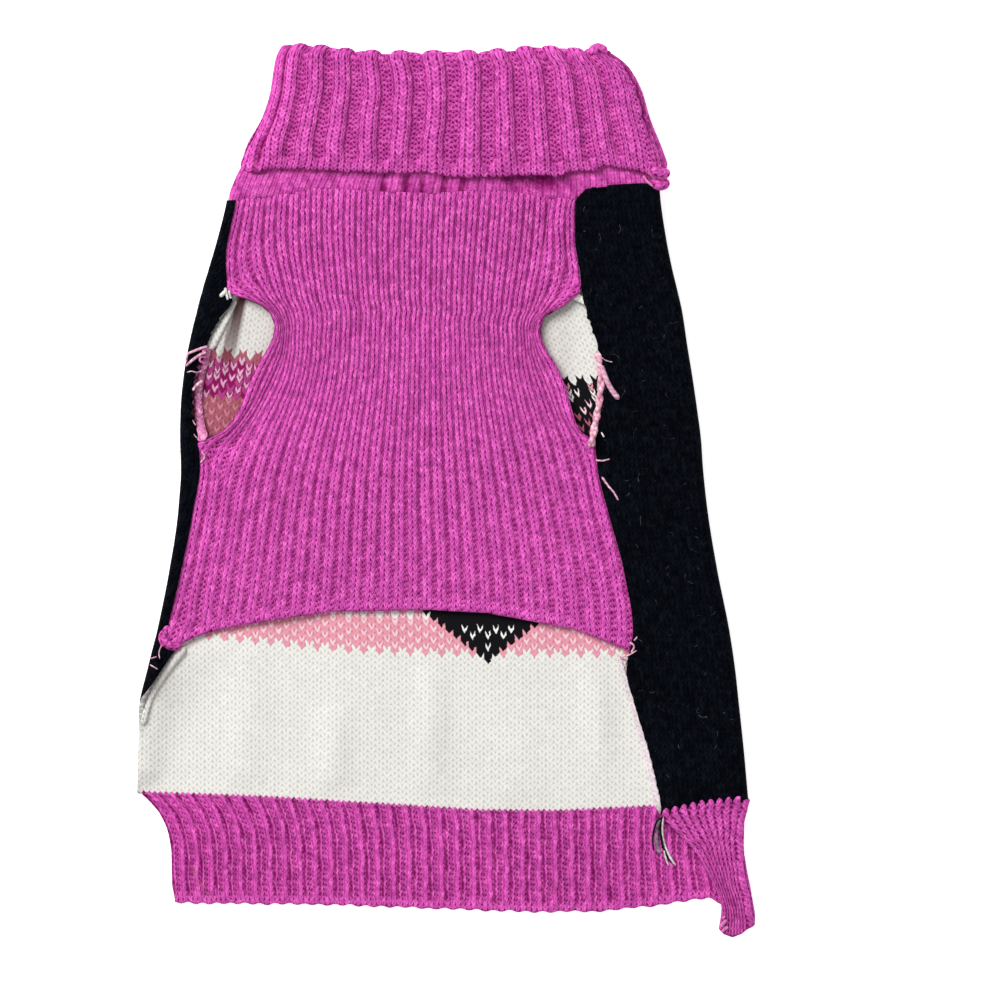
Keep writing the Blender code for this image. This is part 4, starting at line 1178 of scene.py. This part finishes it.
def tube(strand, sides, around, per_length):
    """Points, faces and numbers of one closed tube with rounded ends."""
    line = through(strand.places, max(4, int(28 / len(strand.places))))
    way = way_along(*line[:, :2].T)
    ground = np.array([GROUND.height(x, y) for x, y, _ in line])
    ground = soften((ground[None, :] - YARN_FALL * np.abs(way[:, None] - way[None, :])).max(axis=1))
    radius = strand.start + (strand.end - strand.start) * way / way[-1]
    to_end = np.minimum(way / strand.start, (way[-1] - way) / strand.end)
    round_end = np.sqrt(np.clip(1 - (1 - np.minimum(to_end, 1)) ** 2, 0.04, 1))
    line[:, 2] += ground + radius * strand.flat * 0.75
    radius = radius * round_end
    ahead = np.gradient(line, axis=0)
    ahead /= np.linalg.norm(ahead, axis=1, keepdims=True)
    side = np.stack([-ahead[:, 1], ahead[:, 0], 0 * way], axis=1)
    side /= np.maximum(np.linalg.norm(side, axis=1, keepdims=True), 1e-6)
    up = np.cross(ahead, side)
    turn = np.arange(sides)[None, :, None] / sides * 2 * np.pi
    ring = side[:, None] * np.cos(turn) + strand.flat * up[:, None] * np.sin(turn)
    points = (line[:, None] + ring * radius[:, None, None]).reshape(-1, 3)
    tips = [line[0] - ahead[0] * 0.1 * strand.start, line[-1] + ahead[-1] * 0.1 * strand.end]
    n = len(line)
    faces = grid_faces(n, sides, 0, False, True).tolist()
    for k in range(sides):
        after = (k + 1) % sides
        faces.append((n * sides, k, after))
        faces.append((n * sides + 1, (n - 1) * sides + after, (n - 1) * sides + k))
    across = np.arange(sides) / sides * around + np.zeros((n, 1))
    along = way[:, None] / per_length + np.zeros((1, sides))
    grids = knit_numbers(across, along, twist=along + across)
    numbers = {key: np.concatenate([grid.ravel(), [0, 0]]) for key, grid in grids.items()}
    return np.vstack([points, tips]), faces, numbers


def add_strands(name, strands, material, sides=8, around=2, per_length=1.8):
    """Lengths of yarn as one piece, each a closed tube."""
    tubes = [tube(Strand(*strand), sides, around, per_length) for strand in strands]
    base, faces = 0, []
    for points, quads, _ in tubes:
        faces += [tuple(int(i) + base for i in face) for face in quads]
        base += len(points)
    numbers = {key: np.concatenate([made[2][key] for made in tubes]) for key in tubes[0][2]}
    piece = add_mesh(name, np.vstack([made[0] for made in tubes]), faces, [material], numbers)
    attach(piece, "root")
    return piece


def loops(line, pitch, reach, radius, seed):
    """Small loops of yarn standing out to the left of a line, as on a cut edge of knitting."""
    chance = np.random.RandomState(seed)
    line = through([(x, y, 0) for x, y in line], 24)[:, :2]
    way = way_along(*line.T)
    made = []
    at = 0.4 * pitch
    while at < way[-1] - 0.4 * pitch:
        half = pitch * chance.uniform(0.22, 0.42)
        out = reach * chance.uniform(0.4, 1.2)
        here = np.array([np.interp([at - half, at, at + half], way, line[:, k]) for k in (0, 1)]).T
        ahead = (here[2] - here[0]) / np.linalg.norm(here[2] - here[0])
        left = np.array([-ahead[1], ahead[0]])
        top = here[1] + left * out
        foot = left * 0.3 * reach
        shoulder = ahead * half * 0.6
        corners = ((here[0] - foot, 0), (top - shoulder, 0.3), (top + shoulder, 0.3), (here[2] - foot, 0))
        start = radius * chance.uniform(0.8, 1.15)
        end = radius * chance.uniform(0.7, 1.1)
        made.append(Strand([(*corner, z) for corner, z in corners], start, end))
        at += pitch * chance.uniform(0.75, 1.3)
    return made


def twisted(line, radius, offset, turn):
    """Two strands twisted round each other along a line."""
    line = through([(x, y, 0) for x, y in line], 8)[:, :2]
    way = way_along(*line.T)
    ahead = np.gradient(line, axis=0)
    ahead /= np.linalg.norm(ahead, axis=1, keepdims=True)
    side = np.stack([-ahead[:, 1], ahead[:, 0]], axis=1)
    strands = []
    for start in (0, np.pi):
        angle = way / turn * 2 * np.pi + start
        places = line + side * (offset * np.cos(angle))[:, None]
        strands.append(Strand(np.column_stack([places, offset * (1 + np.sin(angle))]), radius, radius))
    return strands


belly = add_belly()
back = add_back()
hem = add_hem()
collar = add_collar()

for piece, node, slot in (
    (belly, "belly_panel", "rib_knit"),
    (back, "back_panel", "back_knit"),
    (hem, "hem_band", "rib_knit"),
    (collar, "collar", "rib_knit"),
):
    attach(piece, "root")
    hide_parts(node)

bpy.context.view_layer.update()
GROUND = Ground([belly, back, hem, collar])

CREAM_YARN = yarn_material("cream yarn", (0.84, 0.82, 0.78), (0.78, 0.75, 0.72))
PINK_YARN = yarn_material("pink and white yarn", (0.78, 0.26, 0.42), (0.90, 0.66, 0.74))
ROSE_YARN = yarn_material("rose yarn", (0.76, 0.34, 0.50), (0.84, 0.52, 0.64))
GREY_YARN = yarn_material("grey mauve yarn", (0.22, 0.13, 0.19), (0.34, 0.20, 0.29))
MAUVE_YARN = yarn_material("mauve and magenta yarn", (0.80, 0.30, 0.58), (0.70, 0.16, 0.46))
BLACK_YARN = yarn_material("black yarn", (0.006, 0.005, 0.008), (0.02, 0.016, 0.022))
HAIR = yarn_material("pale hairs", (0.09, 0.09, 0.10), (0.15, 0.15, 0.17))
GOLD_THREAD = yarn_material("gold thread", (0.62, 0.30, 0.10), (0.5, 0.2, 0.12))

RIGHT_EDGE = [(60.4, -57.6), (63.3, -67), (66.3, -77), (69.4, -88), (72.1, -99), (75.2, -113)]
LEFT_WEDGE = [(-90.6, -54.8), (-94.6, -59.4), (-98.8, -65.4), (-102.2, -71.2), (-104, -76.6), (-105.2, -82)]
LEFT_LIP_LINE = [(-73, 66.4), (-75.6, 61.6), (-78.4, 56.6), (-80.8, 52.4), (-82.6, 49.4)]
LEFT_MAUVE_LINE = [(-82.6, 51), (-83.8, 45), (-85.2, 39.6), (-86.1, 34.4), (-86.1, 28.4),
                   (-85.3, 22.4), (-83.8, 17.2)]
RIGHT_CHAIN = [(53.2, 48), (54.3, 44.5), (54.6, 39.5), (54.4, 34.5), (53.8, 29.5), (52.8, 24.5),
               (51.8, 19.5), (51, 15)]


def roll(line, start, end, flat=0.8):
    return [Strand([(x, y, 0) for x, y in line], start, end, flat)]


def hairs():
    """Short pale hairs lying on the black cloth."""
    chance = np.random.RandomState(7)
    made = []
    for _ in range(90):
        y = chance.uniform(-100, 98)
        x = chance.uniform(float(body("right_edge", y)) + 2, float(body("right", y)) - 2)
        angle = chance.uniform(0, np.pi)
        long = chance.uniform(0.15, 1) if chance.uniform() < 0.85 else 1.7
        bend = chance.uniform(-0.4, 0.4)
        dx, dy = math.cos(angle) * long, math.sin(angle) * long
        radius = chance.uniform(0.04, 0.09)
        places = [(x - dx, y - dy, 0), (x - dy * bend, y + dx * bend, 0.1), (x + dx, y + dy, 0)]
        made.append(Strand(places, radius, radius * 0.7))
    return made


TRIMS = {
    back: [
        add_strands("right_selvedge", roll(RIGHT_EDGE, 0.9, 1.5, 0.5), PALE_ROLL, 14, 3),
        add_strands("left_wedge_selvedge", roll(LEFT_WEDGE, 1.6, 0.9, 0.6), CREAM_ROLL, 14, 3),
        add_strands("left_selvedge", roll(LEFT_LIP_LINE, 0.7, 1.9, 0.45), CREAM_ROLL, 14, 3),
        add_strands("left_mauve_selvedge", roll(LEFT_MAUVE_LINE, 1.2, 1.7, 0.6), MAUVE_ROLL, 14, 3),
        add_strands("left_selvedge_loops", loops(LEFT_MAUVE_LINE[::-1], 2.9, 1.7, 0.45, 3), MAUVE_YARN),
        add_strands("left_selvedge_pale_loops", [
            ([(-84.4, 38.2, 0.8), (-86.6, 36.4, 0.6), (-87.9, 34.6, 0.2)], 0.6, 0.5),
            ([(-84.8, 35.6, 0.8), (-86.4, 34, 0.5)], 0.55, 0.5),
            ([(-83.4, 48.6, 0.8), (-82.6, 50.2, 0.6)], 0.6, 0.6),
            ([(-85.2, 41.2, 0.6), (-86, 39.4, 0.5)], 0.45, 0.4),
            ([(-86.8, 22.4, 0.3), (-88, 24.4, 0.1)], 0.2, 0.16),
            ([(-86.4, 18, 0.3), (-87.6, 19.6, 0.1)], 0.2, 0.16),
        ], PINK_YARN),
        add_strands("right_chain", twisted(RIGHT_CHAIN, 0.92, 0.48, 11), PINK_YARN, 10),
        add_strands("pink_tail", [
            ([(54.6, 43.6, 0.8), (56.2, 38.9, 0.6), (58, 35.3, 0.2), (60.7, 31.6, 0)], 0.85, 1),
            ([(54.8, 4.6, 0.3), (57.2, 1.2, 0.2), (58.8, -0.6, 0.1), (60.6, -3.6, 0)], 0.4, 0.32),
            ([(54, 46.6, 0.6), (56.2, 45.2, 0.4), (58.6, 44.6, 0)], 0.2, 0.14),
            ([(52.6, 10.4, 0.4), (55, 10.2, 0.3), (57.6, 10.8, 0)], 0.32, 0.26),
        ], ROSE_YARN),
        add_strands("left_tails", [
            ([(-82.8, 50, 0.6), (-84.8, 49.4, 0.4), (-88, 48.2, 0.2), (-89.8, 47.2, 0.2),
              (-90.4, 44.4, 0.2)], 0.5, 0.4),
            ([(-83.2, 48, 0.6), (-85.2, 47.2, 0.4), (-87.8, 45.4, 0.2), (-90.4, 43.2, 0.2)], 0.55, 0.45),
            ([(-84.8, 41.6, 0.4), (-86.4, 41, 0.3), (-88.4, 41.4, 0.2), (-90, 41, 0.1)], 0.26, 0.2),
            ([(-98.4, -53.6, 0.3), (-99.4, -56.4, 0.2), (-99.2, -58.8, 0.1)], 0.24, 0.18),
            ([(-102.4, -58.7, 0.1), (-100.2, -58, 0.2)], 0.23, 0.2),
            ([(-102.6, -60.8, 0.1), (-99.8, -62.4, 0.2)], 0.26, 0.22),
            ([(-84.8, 13.6, 0.4), (-83.9, 11.4, 0.3), (-85.4, 9.4, 0.2)], 0.42, 0.3),
        ], ROSE_YARN),
        add_strands("white_tufts", [
            ([(43.4, 69, -2.4), (46.4, 67.2, -0.9), (49.4, 65.4, -0.6), (51.8, 64.6, -0.5)], 1.8, 0.8, 0.25),
            ([(-76.4, 69.4, 0.3), (-77.4, 68.4, 0.3), (-78.4, 67.4, 0.1)], 0.75, 0.7),
            ([(-76.6, 70.6, 0.2), (-76.2, 68.6, 0.2), (-75.7, 66.3, 0.1)], 0.6, 0.42),
            ([(-75.2, 69.6, 0.2), (-75, 68.2, 0.2), (-74.6, 66.8, 0.1)], 0.42, 0.4),
            ([(54.6, 20.2, 0.1), (55.6, 18.4, 0.1)], 0.25, 0.35),
        ], CREAM_YARN),
        add_strands("hairs", hairs(), HAIR, 5),
    ],
    hem: [
        add_strands("corner_tails", [
            ([(76.2, -113.8, 0.6), (76, -118.8, 0.4), (76.8, -123.8, 0.3), (78.8, -128.4, 0.2),
              (80.8, -131.4, 0.1)], 0.3, 0.42),
            ([(76.6, -125.8, 0.2), (77.2, -128.6, 0.2), (78.2, -131.4, 0.1)], 0.36, 0.3),
        ], CREAM_YARN),
        add_strands("corner_grey_tail", [
            ([(75.4, -114.8, 0.2), (74.2, -118.4, 0.1), (74, -122.6, 0.1), (75.2, -127.4, 0)], 0.6, 0.9, 0.7),
        ], GREY_YARN),
        add_strands("corner_black_tails", [
            ([(76.2, -114, 0.5), (74.2, -115.4, 0.4), (73, -118.8, 0.2), (72.6, -122.6, 0.1),
              (73, -126.2, 0)], 0.38, 0.26),
            ([(75.9, -114.4, 0.6), (75.2, -119, 0.4), (76, -124, 0.3), (77.8, -128.4, 0.2),
              (79.4, -130.6, 0.1)], 0.42, 0.24),
        ], BLACK_YARN),
        add_strands("gold_thread", [
            ([(-89, -130.8, 0), (-86.6, -135.6, 0), (-83.4, -140.2, 0), (-80.4, -143.6, 0)], 0.13, 0.1),
        ], GOLD_THREAD, 6),
        add_strands("flap_tip_loops", [
            ([(98.2, -150, -0.4), (97, -151.4, -0.5), (96.2, -152.6, -0.8)], 0.7, 0.6),
            ([(98.8, -152.4, -0.4), (97.4, -153.4, -0.5), (96.4, -154.2, -0.8)], 0.7, 0.5),
            ([(97.8, -148.6, -0.4), (96.8, -149.6, -0.6)], 0.5, 0.4),
        ], MAUVE_YARN),
    ],
    belly: [
        add_strands("belly_corner", [
            ([(-97.4, -48.8, -0.4), (-98.3, -51.6, -0.5), (-96.6, -54.4, -0.7)], 1.2, 1.7, 0.9),
            ([(-97.4, -53.2, -0.5), (-94.8, -54.6, -0.8), (-92, -54.4, -1.2)], 1.7, 1.1, 0.9),
        ], MAGENTA_ROLL, 12, 3),
        add_strands("corner_loops", [
            ([(64.6, -53, 0.4), (66, -54.6, 0.3), (65, -56.8, 0.2)], 0.36, 0.3),
            ([(61.2, -58.4, 0.3), (63.8, -57.8, 0.3), (67, -56, 0.1)], 0.3, 0.26),
            ([(61.4, -58.6, 0.2), (63.2, -59.6, 0.1), (63, -62.2, 0)], 0.26, 0.22),
            ([(66, -52.6, 0.3), (67.2, -51.2, 0.1)], 0.3, 0.26),
        ], ROSE_YARN),
    ],
    collar: [
        add_strands("collar_corner", [
            ([(71.6, 111.4, -0.8), (74.8, 110, -0.4), (78.2, 110.6, -0.8)], 1.9, 2),
            ([(72, 108, -0.4), (75, 106.2, -0.2), (78, 107.6, -0.6)], 1.9, 2),
            ([(73.6, 111.2, 0.4), (76, 109.2, 0.6), (74.8, 107.2, 0.4)], 1, 0.9),
        ], MAGENTA_ROLL, 12, 3),
        add_strands("collar_corner_loops", [
            ([(69.2, 109.6, 0.4), (70.8, 107.2, 0.2), (73.4, 105.6, 0), (76, 106.2, -0.2)], 0.5, 0.4),
            ([(70.8, 110.6, 0.9), (72.6, 108.6, 0.9), (74.8, 107, 0.4)], 0.36, 0.3),
        ], MAUVE_YARN),
        add_strands("collar_nub", [
            ([(50.6, 151.6, -1.8), (53.4, 153.4, -1.8), (56.4, 151.8, -2)], 2.1, 2),
        ], MAGENTA_ROLL, 12, 3),
    ],
}

# ------------------------ floor, light and camera

FLOOR_SIZE = 3
FLOOR_GLOW = 0.7
VIEW_WIDTH = 0.350
VIEW_CENTRE = (0.01925, -0.0035)
CAMERA_HEIGHT = 1.6
SENSOR = 36


def add_floor():
    half = FLOOR_SIZE / 2
    mesh = bpy.data.meshes.new("floor")
    corners = ((-half, -half), (half, -half), (half, half), (-half, half))
    mesh.from_pydata([(*corner, 0) for corner in corners], [], [(0, 1, 2, 3)])
    material = bpy.data.materials.new("pale floor")
    material.use_nodes = True
    join(material.node_tree.nodes["Principled BSDF"], {
        "Base Color": (0.94, 0.94, 0.94), "Emission Color": (1, 1, 1), "Emission Strength": FLOOR_GLOW,
        "Roughness": 0.9, "Specular IOR Level": 0.1,
    })
    mesh.materials.append(material)
    put_in_scene("floor", mesh)


def add_light(name, place, size, power):
    """A round lamp that points at the middle of the sweater."""
    data = bpy.data.lights.new(name, "AREA")
    data.shape = "DISK"
    data.size = size
    data.energy = power
    light = put_in_scene(name, data)
    light.location = place
    x, y, z = place
    light.rotation_euler = (0, math.acos(z / math.hypot(x, y, z)), math.atan2(-y, -x) + math.pi)


def add_world(strength):
    world = bpy.data.worlds.new("studio")
    world.use_nodes = True
    join(world.node_tree.nodes["Background"], {"Color": (1, 1, 1), "Strength": strength})
    bpy.context.scene.world = world


def add_camera():
    data = bpy.data.cameras.new("camera")
    data.sensor_width = SENSOR
    data.lens = SENSOR * CAMERA_HEIGHT / VIEW_WIDTH
    data.clip_end = 20
    camera = put_in_scene("camera", data)
    camera.location = (*VIEW_CENTRE, CAMERA_HEIGHT)
    bpy.context.scene.camera = camera


add_floor()
add_world(0.30)
add_light("key", (-0.95, 0.95, 1.4), 1.2, 39)
add_light("fill", (0.9, -0.5, 1.5), 1.4, 4.5)
add_camera()
bpy.context.scene.view_settings.view_transform = "Standard"
